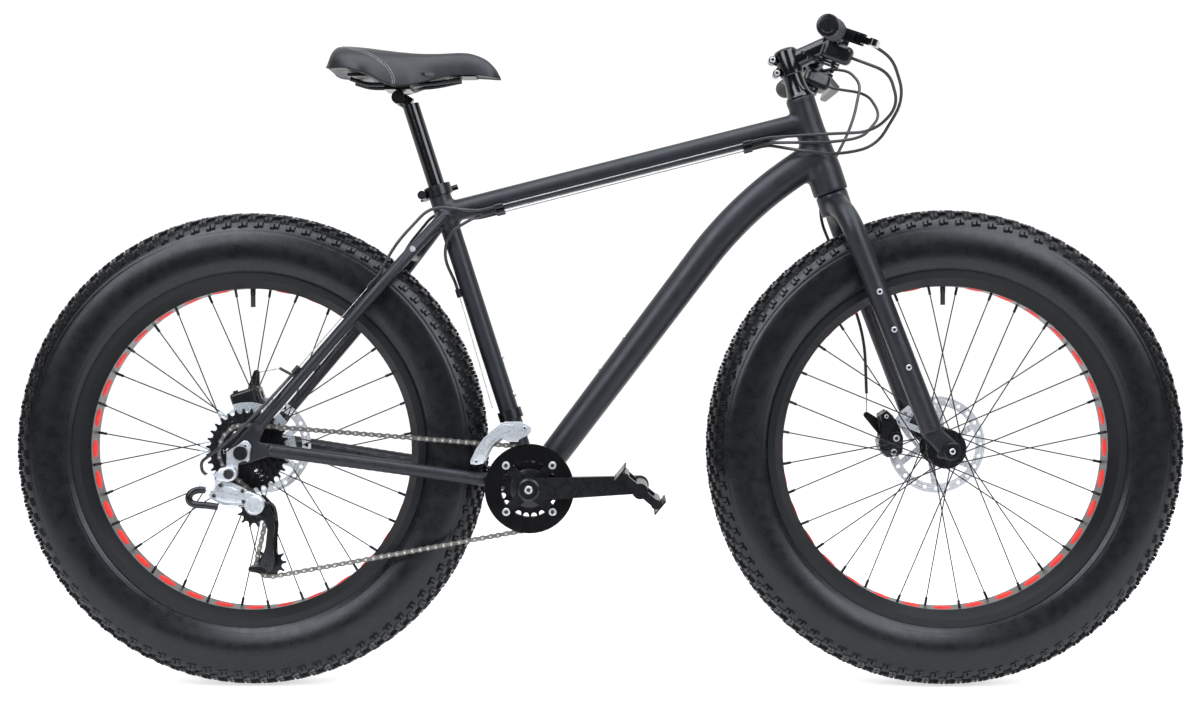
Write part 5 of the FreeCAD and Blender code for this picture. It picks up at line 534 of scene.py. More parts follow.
def add_bolt(part, place, axis, head, height, shank=0.2, material=0, socket=1):
    """Add a bolt with a socket in its round head, which stands on the place: sizes in millimetres."""
    neck = head * 0.8
    hole = head / 2
    profile = ((-shank, 0), (-shank, neck), (0, neck), (0, head), (height - 0.5, head), (height, head - 0.6),
               (height, hole), (0.3, hole), (0.3, 0))
    # The socket's faces take the material numbered socket, a near black that is painted shade in the hollow
    add_turned(part, place, axis, profile, (material,) * 6 + (socket,) * 2, sides=24)


def show(name, part, body, slot, materials, *stands_for):
    """Show a built mesh as a piece, smooth but for its sharp edges."""
    bmesh.ops.recalc_face_normals(part, faces=part.faces)
    mesh = bpy.data.meshes.new(name)
    part.to_mesh(mesh)
    part.free()
    mesh.polygons.foreach_set("use_smooth", [True] * len(mesh.polygons))
    mesh.set_sharp_from_angle(angle=math.radians(SHARP_ANGLE))
    piece(name, mesh, body, materials, *stands_for)


# Welded skins of the frame and the fork

FRAME_SKIN_NODES = ("head_tube", "top_tube", "down_tube", "seat_tube", "bottom_bracket_shell",
                    "rear_triangle")
SKIN_VOXEL_MM = 2.0
EVEN_ROUNDS = 3
FILL_ROUNDS = 60


def remeshed(name, sources):
    """Return one mesh round all the solids of the source meshes."""
    merged = bmesh.new()
    for source in sources:
        merged.from_mesh(source)
    rough = bpy.data.meshes.new(name + "_solids")
    merged.to_mesh(rough)
    merged.free()
    holder = bpy.data.objects.new(name + "_solids", rough)
    bpy.context.scene.collection.objects.link(holder)
    skin = holder.modifiers.new("skin", "REMESH")
    skin.mode = "VOXEL"
    skin.voxel_size = mm(SKIN_VOXEL_MM)
    graph = bpy.context.evaluated_depsgraph_get()
    mesh = bpy.data.meshes.new_from_object(holder.evaluated_get(graph))
    mesh.name = name
    bpy.data.objects.remove(holder)
    bpy.data.meshes.remove(rough)
    mesh.materials.clear()
    return mesh


def fill_creases(mesh):
    """Even out the mesh, then raise its hollow creases only, as a smoothed weld does."""
    count = len(mesh.vertices)
    place = np.empty(count * 3)
    mesh.vertices.foreach_get("co", place)
    place = place.reshape(-1, 3)
    ends = np.empty(len(mesh.edges) * 2, dtype=np.int64)
    mesh.edges.foreach_get("vertices", ends)
    first, second = ends.reshape(-1, 2).T
    degree = np.bincount(first, minlength=count) + np.bincount(second, minlength=count)
    normal = np.empty(count * 3)
    for step in range(EVEN_ROUNDS + FILL_ROUNDS):
        near = np.stack([np.bincount(first, axis[second], count) + np.bincount(second, axis[first], count)
                         for axis in place.T], axis=1)
        drift = near / degree[:, None] - place
        if step >= EVEN_ROUNDS:
            mesh.vertices.foreach_set("co", place.ravel())
            mesh.update()
            mesh.vertex_normals.foreach_get("vector", normal)
            out = normal.reshape(-1, 3)
            drift = out * np.maximum((drift * out).sum(axis=1), 0)[:, None]
        place = place + drift / 2
    mesh.vertices.foreach_set("co", place.ravel())
    mesh.update()
    mesh.polygons.foreach_set("use_smooth", [True] * len(mesh.polygons))


def weld_skin(name, sources, body, *stands_for):
    mesh = remeshed(name, sources)
    fill_creases(mesh)
    piece(name, mesh, body, [FRAME_PAINT], *stands_for)


fork_tubes = take("fork_tubes", "fork", lambda mesh, group: not is_bolt(mesh, group))
weld_skin("frame_skin", [NODES[node].data for node in FRAME_SKIN_NODES], "frame", *FRAME_SKIN_NODES)
weld_skin("fork_skin", [fork_tubes], "steering", "fork")


# Cables: the loops that lead to the bar are a loose mesh of their own, the rest stays on the frame

# A cable that reaches further forward than this leads to the bar
LOOP_REACH = 0.4


def is_loop(mesh, group):
    return extent(mesh, group)[1].x > LOOP_REACH


def is_housing(mesh, group):
    return not is_loop(mesh, group) and not thin(mesh, group)


loops = bpy.data.objects.new("bar_cable_loops", take("bar_cable_loops", "cables", is_loop))
loops.data.materials.append(CABLE_SHEATH)
bpy.context.scene.collection.objects.link(loops)
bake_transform(loops)
piece("frame_wires", take("frame_wires", "cables", thin), "frame", [WIRE_STEEL])
piece("frame_housings", take("frame_housings", "cables", is_housing), "frame", [CABLE_SHEATH], "cables")


# Tires: a smooth carcass with rings on its sidewall, and rows of split knobs

# Radius and half width, from the bead to the crown
TIRE_LINE_MM = ((281.0, 36.8), (288.5, 38.2), (300.0, 44.4), (315.0, 48.6), (330.0, 49.9), (345.0, 48.7),
                (357.0, 44.8), (366.0, 39.0), (373.0, 30.0), (377.6, 17.0), (379.3, 0.0))
LINE_STEPS = 7
RIB_RADII_MM = (291.5, 295.0)
RIB_HEIGHT_MM = 0.7
GROOVE_RADIUS_MM = 352.5
GROOVE_DEPTH_MM = 0.6
RIB_HALF_WIDTH_MM = 1.1
TIRE_SEGMENTS = 264
KNOB_COUNT = 88
# Each row: distance from the tire's middle, length along the tread, width, height, share of a pitch ahead
KNOB_ROWS_MM = ((7.5, 12.0, 10.0, 5.2, 0.0), (20.5, 13.0, 9.0, 5.0, 0.5), (32.0, 12.0, 8.5, 4.6, 0.0),
                (41.5, 13.5, 8.0, 4.2, 0.5))
KNOB_SPLIT_MM = 1.4
KNOB_STAGGER_MM = 1.6
KNOB_EDGE_MM = 0.7
KNOB_ROOT_MM = 1.2


def tire_line():
    """Return the carcass line from bead to crown, with ribs near the rim and a groove under the tread."""
    line = smooth_line(TIRE_LINE_MM, LINE_STEPS)
    shaped = []
    for index, point in enumerate(line):
        ahead = line[min(index + 1, len(line) - 1)] - line[max(index - 1, 0)]
        out = Vector((-ahead.y, ahead.x)).normalized()
        lift = sum(RIB_HEIGHT_MM for rib in RIB_RADII_MM if abs(point.x - rib) < RIB_HALF_WIDTH_MM)
        if abs(point.x - GROOVE_RADIUS_MM) < RIB_HALF_WIDTH_MM:
            lift -= GROOVE_DEPTH_MM
        shaped.append(point + out * lift)
    return shaped


def carcass(axle, points, faces):
    half = tire_line()
    line = half + [Vector((point.x, -point.y)) for point in reversed(half[:-1])]
    row = len(line)
    for turn in range(TIRE_SEGMENTS):
        angle = TURN * turn / TIRE_SEGMENTS
        points.extend(around(axle, angle, point.x, point.y) for point in line)
        here = turn * row
        there = (turn + 1) % TIRE_SEGMENTS * row
        for step in range(row - 1):
            faces.append((here + step, here + step + 1, there + step + 1, there + step))


def knob(axle, angle, foot, out, half_length, half_width, height, shift, points, faces):
    """Add one block of tread, standing on the carcass at foot along out, both in radius and width."""
    across = Vector((-out.y, out.x))
    start = len(points)
    rings = ((-KNOB_ROOT_MM, KNOB_EDGE_MM), (height - KNOB_EDGE_MM, 0.0), (height, -KNOB_EDGE_MM))
    for level, grow in rings:
        for along_sign, across_sign in ((-1, -1), (1, -1), (1, 1), (-1, 1)):
            along = shift + along_sign * (half_length + grow)
            spot = foot + out * level + across * across_sign * (half_width + grow)
            points.append(around(axle, angle + along / spot.x, spot.x, spot.y))
    for ring in range(len(rings) - 1):
        for corner in range(4):
            low = start + ring * 4
            after = (corner + 1) % 4
            faces.append((low + corner, low + after, low + 4 + after, low + 4 + corner))
    top = start + 4 * (len(rings) - 1)
    faces.append((top, top + 1, top + 2, top + 3))


def foot_at(width_mm):
    """Return the place and the outward direction on the tread that far from the tire's middle."""
    line = [point for point in smooth_line(TIRE_LINE_MM, LINE_STEPS) if point.x > GROOVE_RADIUS_MM]
    index = min(range(1, len(line) - 1), key=lambda i: abs(line[i].y - width_mm))
    ahead = line[index + 1] - line[index - 1]
    return line[index], Vector((-ahead.y, ahead.x)).normalized()


def tread(axle, points, faces):
    for width, length, depth, height, phase in KNOB_ROWS_MM:
        foot, out = foot_at(width)
        block = (length - KNOB_SPLIT_MM) / 2
        for side in (-1, 1):
            outward = Vector((out.x, out.y * side))
            for index in range(KNOB_COUNT):
                angle = TURN * (index + phase + side / 4) / KNOB_COUNT
                for half in (-1, 1):
                    spot = foot + Vector((-out.y, out.x)) * (half * KNOB_STAGGER_MM / 2)
                    shift = half * (block + KNOB_SPLIT_MM) / 2
                    knob(axle, angle, Vector((spot.x, spot.y * side)), outward, block / 2, depth / 2, height,
                         shift, points, faces)


def tire(name, node, axle, body):
    points, faces = [], []
    carcass(axle, points, faces)
    smooth_count = len(faces)
    tread(axle, points, faces)
    mesh = mesh_of(name, points, faces)
    mesh.polygons.foreach_set("use_smooth", [index < smooth_count for index in range(len(faces))])
    part = bmesh.new()
    part.from_mesh(mesh)
    bmesh.ops.recalc_face_normals(part, faces=part.faces)
    part.to_mesh(mesh)
    part.free()
    piece(name, mesh, body, [TIRE_RUBBER], node)


tire("front_knobbed_tire", "front_tire", FRONT_AXLE, "front_wheel")
tire("rear_knobbed_tire", "rear_tire", REAR_AXLE, "rear_wheel")


# The red strip that the inner tube presses out through the rim's windows

WINDOW_COUNT = 32
VALVE_WINDOW = 8
BED_RADIUS_MM = 261.0
PILLOW_LENGTH_MM = 33.0
PILLOW_WIDTH_MM = 29.0
PILLOW_RISE_MM = 2.2
PILLOW_SINK_MM = 0.4
PILLOW_RINGS = 5
PILLOW_SIDES = 24


def strip_pillows(name, axle, body):
    """Bulge the red strip through every window but the valve's."""
    part = bmesh.new()
    height = PILLOW_RISE_MM + PILLOW_SINK_MM
    for window in range(WINDOW_COUNT):
        if window == VALVE_WINDOW:
            continue
        angle = TURN * window / WINDOW_COUNT
        rings = []
        for ring in range(PILLOW_RINGS + 1):
            share = ring / PILLOW_RINGS
            radius = BED_RADIUS_MM + PILLOW_SINK_MM - height * math.sqrt(1 - share ** 2)
            spots = []
            for side in range(PILLOW_SIDES if ring else 1):
                turn = TURN * side / PILLOW_SIDES
                along = PILLOW_LENGTH_MM / 2 * share * math.cos(turn)
                across = PILLOW_WIDTH_MM / 2 * share * math.sin(turn)
                spots.append(part.verts.new(around(axle, angle + along / BED_RADIUS_MM, radius, across)))
            rings.append(spots if ring else spots * PILLOW_SIDES)
        for low, high in zip(rings, rings[1:]):
            join_rings(part, low, high)
        part.faces.new(rings[-1])
    show(name, part, body, "tube_rubber", [RED_STRIP])


strip_pillows("front_strip_pillows", FRONT_AXLE, "front_wheel")
strip_pillows("rear_strip_pillows", REAR_AXLE, "rear_wheel")


# Bolts with sockets on the cranks, the rings and the fork: head radius and height

CRANK_CAP_SET_MM = 104.0
CRANK_BOLT_MM = (6.4, 1.6)
HUB_RING_MM = ((-4, 8.5), (-4, 19), (-0.8, 17.5), (0.6, 15), (0.6, 13), (-1.2, 12), (-1.2, 8.5))
SPIDER_SET_MM = -76.0
SPIDER_MM = ((0, 0), (0, 31), (1.5, 31), (3, 27), (3, 0))
RING_BOLT_SET_MM = -84.0
RING_BOLT_MM = (6.2, 2.2, 20.0)
FORK_BOLT_SINK_MM = 1.2
FORK_BOLT_MM = (4.6, 3.0)


def crank_bolts():
    part = bmesh.new()
    for side in (-1, 1):
        hub = side_place(BRACKET, 0, 0, side * CRANK_CAP_SET_MM)
        add_bolt(part, hub, (0, side, 0), *CRANK_BOLT_MM)
        add_turned(part, hub, (0, side, 0), HUB_RING_MM, 2, sides=48, ring=True)
    add_turned(part, side_place(BRACKET, 0, 0, SPIDER_SET_MM), (0, -1, 0), SPIDER_MM, 2, sides=48)
    show("crank_bolts", part, "crank", "steel", [BOLT_STEEL, DARK_PARTS_AND_HOLE_SHADE, SATIN_ALLOY])


def chainring_bolts():
    part = bmesh.new()
    for spot in solid_middles("chainring_bolts", lambda mesh, group: True):
        add_bolt(part, Vector((spot.x, mm(RING_BOLT_SET_MM), spot.z)), (0, -1, 0), *RING_BOLT_MM)
    show("chainring_socket_bolts", part, "crank", "steel", [BOLT_STEEL, DARK_PARTS_AND_HOLE_SHADE], "chainring_bolts")


def fork_bolts():
    part = bmesh.new()
    for spot in solid_middles("fork", is_bolt):
        side = math.copysign(1, spot.y)
        add_bolt(part, spot - Vector((0, side * mm(FORK_BOLT_SINK_MM), 0)), (0, side, 0), *FORK_BOLT_MM)
    show("fork_socket_bolts", part, "steering", "steel", [BOLT_STEEL, DARK_PARTS_AND_HOLE_SHADE])


crank_bolts()
chainring_bolts()
fork_bolts()


# Front derailleur: a forged outer cage plate that sweeps back over the chain, an inner plate and a bridge.
# Outlines are in the side view, forward and up from the bracket's axis.

FD_OUTER_MM = ((-38, 106), (-13, 106), (-4, 101), (3.5, 97), (2.5, 90), (-2, 84), (-17, 78), (-17, 74),
               (-34, 74), (-39, 78), (-46, 81), (-58, 69), (-67, 57), (-72, 40), (-84, 37.5), (-93, 39),
               (-94, 44), (-84, 64), (-72, 80.5), (-58, 93), (-45, 103))
FD_RIDGE_MM = ((-40, 102), (-24, 101), (-30, 92), (-44, 88), (-60, 75), (-72, 58), (-80, 46), (-86, 46),
               (-78, 63), (-66, 79), (-52, 93))
FD_INNER_MM = ((-34, 100), (-12, 100), (-4, 92), (-17, 80), (-40, 80), (-60, 64), (-70, 42), (-90, 40),
               (-82, 62), (-68, 80), (-52, 92))
FD_BRIDGE_MM = ((-36, 104), (-14, 104), (-5, 99), (-7, 92), (-34, 92))
# Each plate: outline, its two sides across the bike, rounding of its edges
FD_PLATES = ((FD_OUTER_MM, -82.4, -80.8, 0.7), (FD_RIDGE_MM, -83.6, -82.0, 0.9),
             (FD_INNER_MM, -64.6, -63.0, 0.7), (FD_BRIDGE_MM, -81.9, -63.5, 1.5))
FD_OUTER_SET_MM = -82.4
FD_TAIL_MM = (-84, 43)
FD_TAIL_ROD_MM = ((0.5, 0), (0.5, 3), (18.9, 3), (18.9, 0))
FD_TAIL_BOLT_MM = (3.4, 1.8)
FD_HEAD_MM = (-7, 96)
FD_HEAD_BOLT_MM = (3.4, 2.2)


def front_derailleur():
    part = bmesh.new()
    for plate in FD_PLATES:
        add_plate(part, BRACKET, *plate)
    tail = side_place(BRACKET, *FD_TAIL_MM, FD_OUTER_SET_MM)
    add_turned(part, tail, (0, 1, 0), FD_TAIL_ROD_MM)
    add_bolt(part, tail, (0, -1, 0), *FD_TAIL_BOLT_MM)
    add_bolt(part, side_place(BRACKET, *FD_HEAD_MM, FD_OUTER_SET_MM - 0.1), (0, -1, 0), *FD_HEAD_BOLT_MM)
    show("front_derailleur_forging", part, "front_derailleur_cage", "silver_alloy", [BRIGHT_ALLOY, DARK_PARTS_AND_HOLE_SHADE],
         "front_derailleur_cage")


front_derailleur()


# Rear derailleur: hanger, mounting knuckle, white pivot block, outer link, moving knuckle and long cage.
# Outlines and places are in the side view, forward and up from the rear axle.

HANGER_MM = ((5.6, 20), (11, 19), (15.5, 14), (16.5, 8), (12.8, 0), (14, -10), (11, -14), (5.5, -11),
             (0, -12.5), (-5.5, -15.5), (-4.5, -25), (-8.5, -35), (-18.5, -40.5), (-27, -35), (-22, -21.5),
             (-22.8, 2), (-18, 4.8), (-7.3, 10), (0, 17))
B_KNUCKLE_MM = ((-16.5, -20), (-8, -22), (-4, -28), (-4.5, -36), (-10, -42), (-18, -44), (-31, -43),
                (-37, -38), (-36, -31), (-30, -23))
PIVOT_BLOCK_MM = ((-62, -49), (-56, -39), (-49.5, -31.5), (-43, -31), (-38, -35), (-35.5, -47), (-39, -57),
                  (-46, -60), (-54, -59))
PIVOT_ARM_MM = ((-44, -46), (-36, -40), (-28, -38), (-28, -44), (-36, -50))
# Each plate: outline, its two sides across the bike, rounding of its edges, material
MOUNTING_PLATES = ((HANGER_MM, -97.0, -92.2, 1.2, 0), (B_KNUCKLE_MM, -113.0, -96.0, 2.2, 0),
                   (PIVOT_BLOCK_MM, -118.0, -103.0, 2.5, 2), (PIVOT_ARM_MM, -112.0, -100.0, 1.2, 0))
B_BOLT_MM = (-15.5, -31.5, -113.0)
B_BOLT_PROFILE_MM = ((-1, 0), (-1, 8), (2.2, 8), (3, 7), (3, 5.5), (1, 5), (1, 0))
HANGER_BOLT_PLACE_MM = (8, 11.5, -97.0)
HANGER_BOLT_MM = (3.4, 1.2)
OUTER_LINK_MM = ((-34, -43), (-25, -43), (-14.5, -46), (0, -53), (8, -58), (10, -70), (7.5, -83), (-10, -83),
                 (-26, -81.5), (-36, -76), (-45.5, -70), (-47.5, -65), (-41, -55))
LINK_RELIEF_MM = ((-32, -50), (-16, -52), (-4, -58), (-3, -66), (-20, -62), (-34, -58))
LINK_LIP_MM = ((-38, -68), (-20, -70), (2, -76), (3, -80), (-22, -78), (-36, -73))
LINK_PLATES = ((OUTER_LINK_MM, -96.0, -91.0, 1.2), (LINK_RELIEF_MM, -97.4, -95.0, 0.8),
               (LINK_LIP_MM, -97.8, -95.0, 1.0))
LINK_SET_MM = -92.0
LINK_LEAN = 0.348
LINK_PINS_MM = ((-40, -66), (-30, -50), (2, -60), (3, -77))
LINK_PIN_SET_MM = 3.6
LINK_PIN_PROFILE_MM = ((-1, 0), (-1, 3), (2.2, 3), (2.8, 2.3), (2.8, 0))
CABLE_GUIDE_MM = ((-52, -56), (-62, -56), (-71, -59), (-75.5, -66), (-74, -74), (-66, -78.5), (-50, -80.5),
                  (-34, -83.5))
CABLE_END_MM = ((-34, -83.5), (-12, -85), (6, -84))
CABLE_SET_MM = 5.0
GUIDE_RADIUS_MM = 5.6
WIRE_RADIUS_MM = 0.8
P_KNUCKLE_MM = ((4, -60), (12, -61), (28, -68), (35, -76), (36, -84), (32, -93), (22, -98), (10, -94),
                (4, -84), (2, -70))
P_KNUCKLE_REACH_MM = (-94.0, -79.0)
P_KNUCKLE_EDGE_MM = 2.5
PIVOT_MM = (20, -83, -94.0)
PIVOT_CAP_MM = ((-2, 0), (-2, 15.2), (1.6, 15.2), (2.8, 14), (2.8, 12), (2.2, 11.4), (2.2, 0))
CAGE_MM = ((10, -92), (16, -72), (28, -70), (42, -84), (49, -98), (51, -118), (48, -146), (49, -160),
           (51, -172), (48, -186), (38, -192), (28, -187), (26, -176), (31, -166), (36, -150), (40, -122),
           (35, -106), (22, -102))
CAGE_TAIL_MM = ((9, -182), (14, -180.5), (30, -180), (38, -186), (40, -192), (28, -192), (12, -189.5),
                (8.5, -187))
CAGE_PLATES = ((CAGE_MM, -87.6, -85.6, 0.7), (CAGE_MM, -57.0, -55.0, 0.7), (CAGE_TAIL_MM, -88.6, -55.0, 1.2))
CAGE_SET_MM = -87.6
PULLEY_CAPS_MM = ((11.5, -96.7), (38.5, -178.7))
PULLEY_BOLT_MM = (4.0, 1.6)
CAGE_HOOK_MM = ((38, -80), (45, -80), (51, -86), (53, -96), (52, -108))
HOOK_SET_MM = -88.6
HOOK_RADIUS_MM = 2.3


def mounting_knuckle():
    part = bmesh.new()
    for plate in MOUNTING_PLATES:
        add_plate(part, REAR_AXLE, *plate)
    add_turned(part, side_place(REAR_AXLE, *B_BOLT_MM), (0, -1, 0), B_BOLT_PROFILE_MM, 1)
    add_bolt(part, side_place(REAR_AXLE, *HANGER_BOLT_PLACE_MM), (0, -1, 0), *HANGER_BOLT_MM)
    show("mounting_knuckle", part, "frame", "silver_alloy", [BRIGHT_ALLOY, DARK_PARTS_AND_HOLE_SHADE, WHITE_PLASTIC],
         "rear_derailleur_body")


def on_link(x, z, lift):
    """Return a place raised by a lift in millimetres from the outer link's leaning face."""
    return side_place(REAR_AXLE, x, z, LINK_SET_MM + LINK_LEAN * x - lift)


def outer_link():
    part = bmesh.new()
    for plate in LINK_PLATES:
        add_plate(part, REAR_AXLE, *plate, lean=LINK_LEAN)
    for x, z in LINK_PINS_MM:
        add_turned(part, on_link(x, z, LINK_PIN_SET_MM), (LINK_LEAN, -1, 0), LINK_PIN_PROFILE_MM, 1, sides=20)
    add_rod(part, [on_link(x, z, CABLE_SET_MM) for x, z in CABLE_GUIDE_MM], GUIDE_RADIUS_MM, 2, sides=16)
    add_rod(part, [on_link(x, z, CABLE_SET_MM) for x, z in CABLE_END_MM], WIRE_RADIUS_MM, 3, sides=8)
    show("outer_link_forging", part, "derailleur_outer_link", "silver_alloy",
         [BRIGHT_ALLOY, DARK_PARTS_AND_HOLE_SHADE, POD_PLASTIC, WIRE_STEEL], "derailleur_outer_link")


def moving_knuckle():
    part = bmesh.new()
    add_plate(part, REAR_AXLE, P_KNUCKLE_MM, *P_KNUCKLE_REACH_MM, P_KNUCKLE_EDGE_MM)
    add_turned(part, side_place(REAR_AXLE, *PIVOT_MM), (0, -1, 0), PIVOT_CAP_MM, sides=48)
    show("moving_knuckle", part, "derailleur_knuckle", "silver_alloy", [BRIGHT_ALLOY], "derailleur_knuckle")


def long_cage():
    part = bmesh.new()
    for plate in CAGE_PLATES:
        add_plate(part, REAR_AXLE, *plate)
    for x, z in PULLEY_CAPS_MM:
        add_bolt(part, side_place(REAR_AXLE, x, z, CAGE_SET_MM), (0, -1, 0), *PULLEY_BOLT_MM)
    add_rod(part, [side_place(REAR_AXLE, x, z, HOOK_SET_MM) for x, z in CAGE_HOOK_MM], HOOK_RADIUS_MM)
    show("long_cage", part, "derailleur_cage", "black_alloy", [SATIN_ALLOY, DARK_PARTS_AND_HOLE_SHADE], "derailleur_cage")


mounting_knuckle()
outer_link()
moving_knuckle()
long_cage()


# Chain: waisted link plates with pins and rollers

LINK_HALF_MM = 6.35
LINK_END_MM = 4.1
LINK_WAIST_MM = 2.5
# Each pair of plates reaches from the first to the second distance on either side of the chain's middle
INNER_PLATES_MM = (1.6, 2.5)
OUTER_PLATES_MM = (2.65, 3.6)
# A CAD link wider than this is an outer one
OUTER_LINK_WIDTH_MM = 6.2
CHAIN_PIN_MM = 1.9
CHAIN_PIN_HALF_MM = 3.9
CHAIN_ROLLER_MM = 3.8


def link_outline():
    """Return the outline of a chain plate along and above its middle, in millimetres."""
    half = [(LINK_HALF_MM + LINK_END_MM * math.cos(turn), LINK_END_MM * math.sin(turn))
            for turn in (math.radians(step) for step in range(-120, 121, 30))]
    return half + [(0.0, LINK_WAIST_MM)] + [(-x, -z) for x, z in half] + [(0.0, -LINK_WAIST_MM)]


def add_chain_link(part, corners):
    """Add a link in the place of its CAD solid."""
    low, high = corners.min(axis=0), corners.max(axis=0)
    centre = Vector((low + high) / 2)
    along = Vector(np.linalg.svd(corners - corners.mean(axis=0), full_matrices=False)[2][0]).normalized()
    across = Vector((0, 1, 0))
    above = along.cross(across).normalized()
    is_outer = high[1] - low[1] > mm(OUTER_LINK_WIDTH_MM)
    plates = OUTER_PLATES_MM if is_outer else INNER_PLATES_MM
    half = CHAIN_PIN_HALF_MM if is_outer else INNER_PLATES_MM[0]
    radius = CHAIN_PIN_MM if is_outer else CHAIN_ROLLER_MM
    for side in (-1, 1):
        walls = [[part.verts.new(centre + along * mm(x) + above * mm(z) + across * mm(side * level))
                  for x, z in link_outline()] for level in plates]
        for wall in walls:
            part.faces.new(wall)
        join_rings(part, *walls)
    for end in (-LINK_HALF_MM, LINK_HALF_MM):
        add_turned(part, centre + along * mm(end), across,
                   ((-half, 0), (-half, radius), (half, radius), (half, 0)), 1, sides=12)


def chain():
    part = bmesh.new()
    mesh = NODES["chain"].data
    for group in islands(mesh):
        add_chain_link(part, corners_of(mesh, group))
    show("waisted_chain", part, "frame", "steel", [CHAIN_STEEL, BOLT_STEEL], "chain")


chain()


# Front brake: caliper halves joined outside the rotor, silver bracket and bolts; ends of the front axle.
# Outlines and places are in the side view, forward and up from the front axle.

CALIPER_MM = ((-96, 50), (-84, 58), (-75, 50), (-68, 40), (-62, 28), (-57, 10), (-58, -12), (-66, -18),
              (-84, -20), (-95, -8), (-98, 6), (-90, 20), (-92, 36))
CALIPER_BRIDGE_MM = ((-97, 48), (-88, 55), (-84, 36), (-86, 10), (-85, -16), (-95, -8), (-98, 6), (-91, 20),
                     (-93, 36))
PAD_MM = ((-80, 24), (-66, 20), (-64, 4), (-78, 2))
BRACKET_MM = ((-36, 64), (-30, 58), (-38, 48), (-46, 34), (-44, 18), (-33, 4), (-27, -4), (-33, -4),
              (-48, 12), (-58, 28), (-66, 42), (-62, 50), (-48, 58))
# Each plate: outline, its two sides across the bike, rounding of its edges, material
CALIPER_PLATES = ((CALIPER_MM, 38.0, 51.0, 3.0, 0), (CALIPER_MM, 63.0, 84.0, 3.0, 0),
                  (CALIPER_BRIDGE_MM, 46.0, 68.0, 2.0, 0), (PAD_MM, 53.0, 55.8, 0.5, 1),
                  (PAD_MM, 58.2, 61.0, 0.5, 1), (BRACKET_MM, 59.4, 64.0, 0.9, 3))
# The bracket's holes are thin near-black discs on its face: painted shade in place of hollows
BRACKET_HOLES_MM = ((-46, 52, 59.4), (-56, 42, 59.4))
SHADE_DISC_PROFILE_MM = ((-1, 0), (-1, 3), (0.2, 3), (0.2, 0))
ADJUSTER_MM = (-69, 12, 38.0)
ADJUSTER_PROFILE_MM = ((-1, 0), (-1, 11), (3, 11), (4, 10), (4, 7), (2, 7), (2, 0))
# Each bolt: its place, head radius and height
CALIPER_BOLTS_MM = (((-69, 12, 36.0), 5.6, 2.2), ((-73, -11, 38.0), 5.4, 3.2), ((-85, 48, 38.0), 3.6, 2.6))
AXLE_END_MM = 83.6
AXLE_CAP_MM = ((-3, 0), (-3, 13.5), (1, 13.5), (2, 12.5), (2, 8), (0.5, 7.5), (0.5, 0))
AXLE_BOLT_MM = (4.8, 3.6)
AXLE_BOLT_SINK_MM = 0.5


def front_caliper():
    part = bmesh.new()
    for plate in CALIPER_PLATES:
        add_plate(part, FRONT_AXLE, *plate)
    # Painted shade: a dark disc for each hole
    for hole in BRACKET_HOLES_MM:
        add_turned(part, side_place(FRONT_AXLE, *hole), (0, -1, 0), SHADE_DISC_PROFILE_MM, 1)
    add_turned(part, side_place(FRONT_AXLE, *ADJUSTER_MM), (0, -1, 0), ADJUSTER_PROFILE_MM)
    for place, head, height in CALIPER_BOLTS_MM:
        add_bolt(part, side_place(FRONT_AXLE, *place), (0, -1, 0), head, height, material=2)
    show("front_caliper_casting", part, "steering", "black_alloy",
         [SATIN_ALLOY, DARK_PARTS_AND_HOLE_SHADE, BOLT_STEEL, BRIGHT_ALLOY], "front_brake_caliper")


def front_axle_ends():
    part = bmesh.new()
    for side in (-1, 1):
        end = side_place(FRONT_AXLE, 0, 0, side * AXLE_END_MM)
        add_turned(part, end, (0, side, 0), AXLE_CAP_MM, sides=48)
        bolt = side_place(FRONT_AXLE, 0, 0, side * (AXLE_END_MM + AXLE_BOLT_SINK_MM))
        add_bolt(part, bolt, (0, side, 0), *AXLE_BOLT_MM, material=1, socket=2)
    show("front_axle_ends", part, "steering", "black_alloy", [SATIN_ALLOY, BOLT_STEEL, DARK_PARTS_AND_HOLE_SHADE])


front_caliper()
front_axle_ends()


# Stem: a glossy cone and barrel on the steerer, a neck and a bar clamp, with pinch bolts behind

STEERING = next(joint for joint in frame["joints"] if joint["name"] == "steering")
STEER_AXIS = Vector(STEERING["axis"])
STEER_FOOT = Vector(STEERING["pos_m"])
# Distances along the steerer from the crown, and radii
STEM_PROFILE_MM = ((150.4, 0), (150.4, 22.4), (152, 22.4), (155, 20.2), (161, 18.2), (170, 16.8), (180, 16.2),
                   (188, 16.4), (189, 16.4), (189, 18.4), (190.5, 19.4), (226, 19.4), (229, 18.6),
                   (232, 15.5), (234, 9), (234.6, 0))
NECK_START_MM = 209.0
NECK_MM = 15.2
BAR_MIDDLE = Vector((0.38635, 0.0, 1.04181))
BAR_CLAMP_MM = ((-23, 16.1), (-23, 20), (-22, 21), (22, 21), (23, 20), (23, 16.1))
FACE_BOLT_RISE_MM = 17.0
FACE_BOLT_SET_MM = 15.0
FACE_LUG_MM = ((-12, 0), (-12, 5.4), (9, 5.4), (10, 4.6), (10, 0))
FACE_BOLT_MM = (3.6, 2.6)
PINCH_SET_MM = 13.0
PINCH_LUG_MM = ((-13, 0), (-13, 5.5), (-12.2, 6.3), (12.2, 6.3), (13, 5.5), (13, 0))
PINCH_WEB_MM = ((0, 0), (0, 6.3), (20, 8.3), (20, 0))
PINCH_BOLT_MM = (4.6, 2.4)


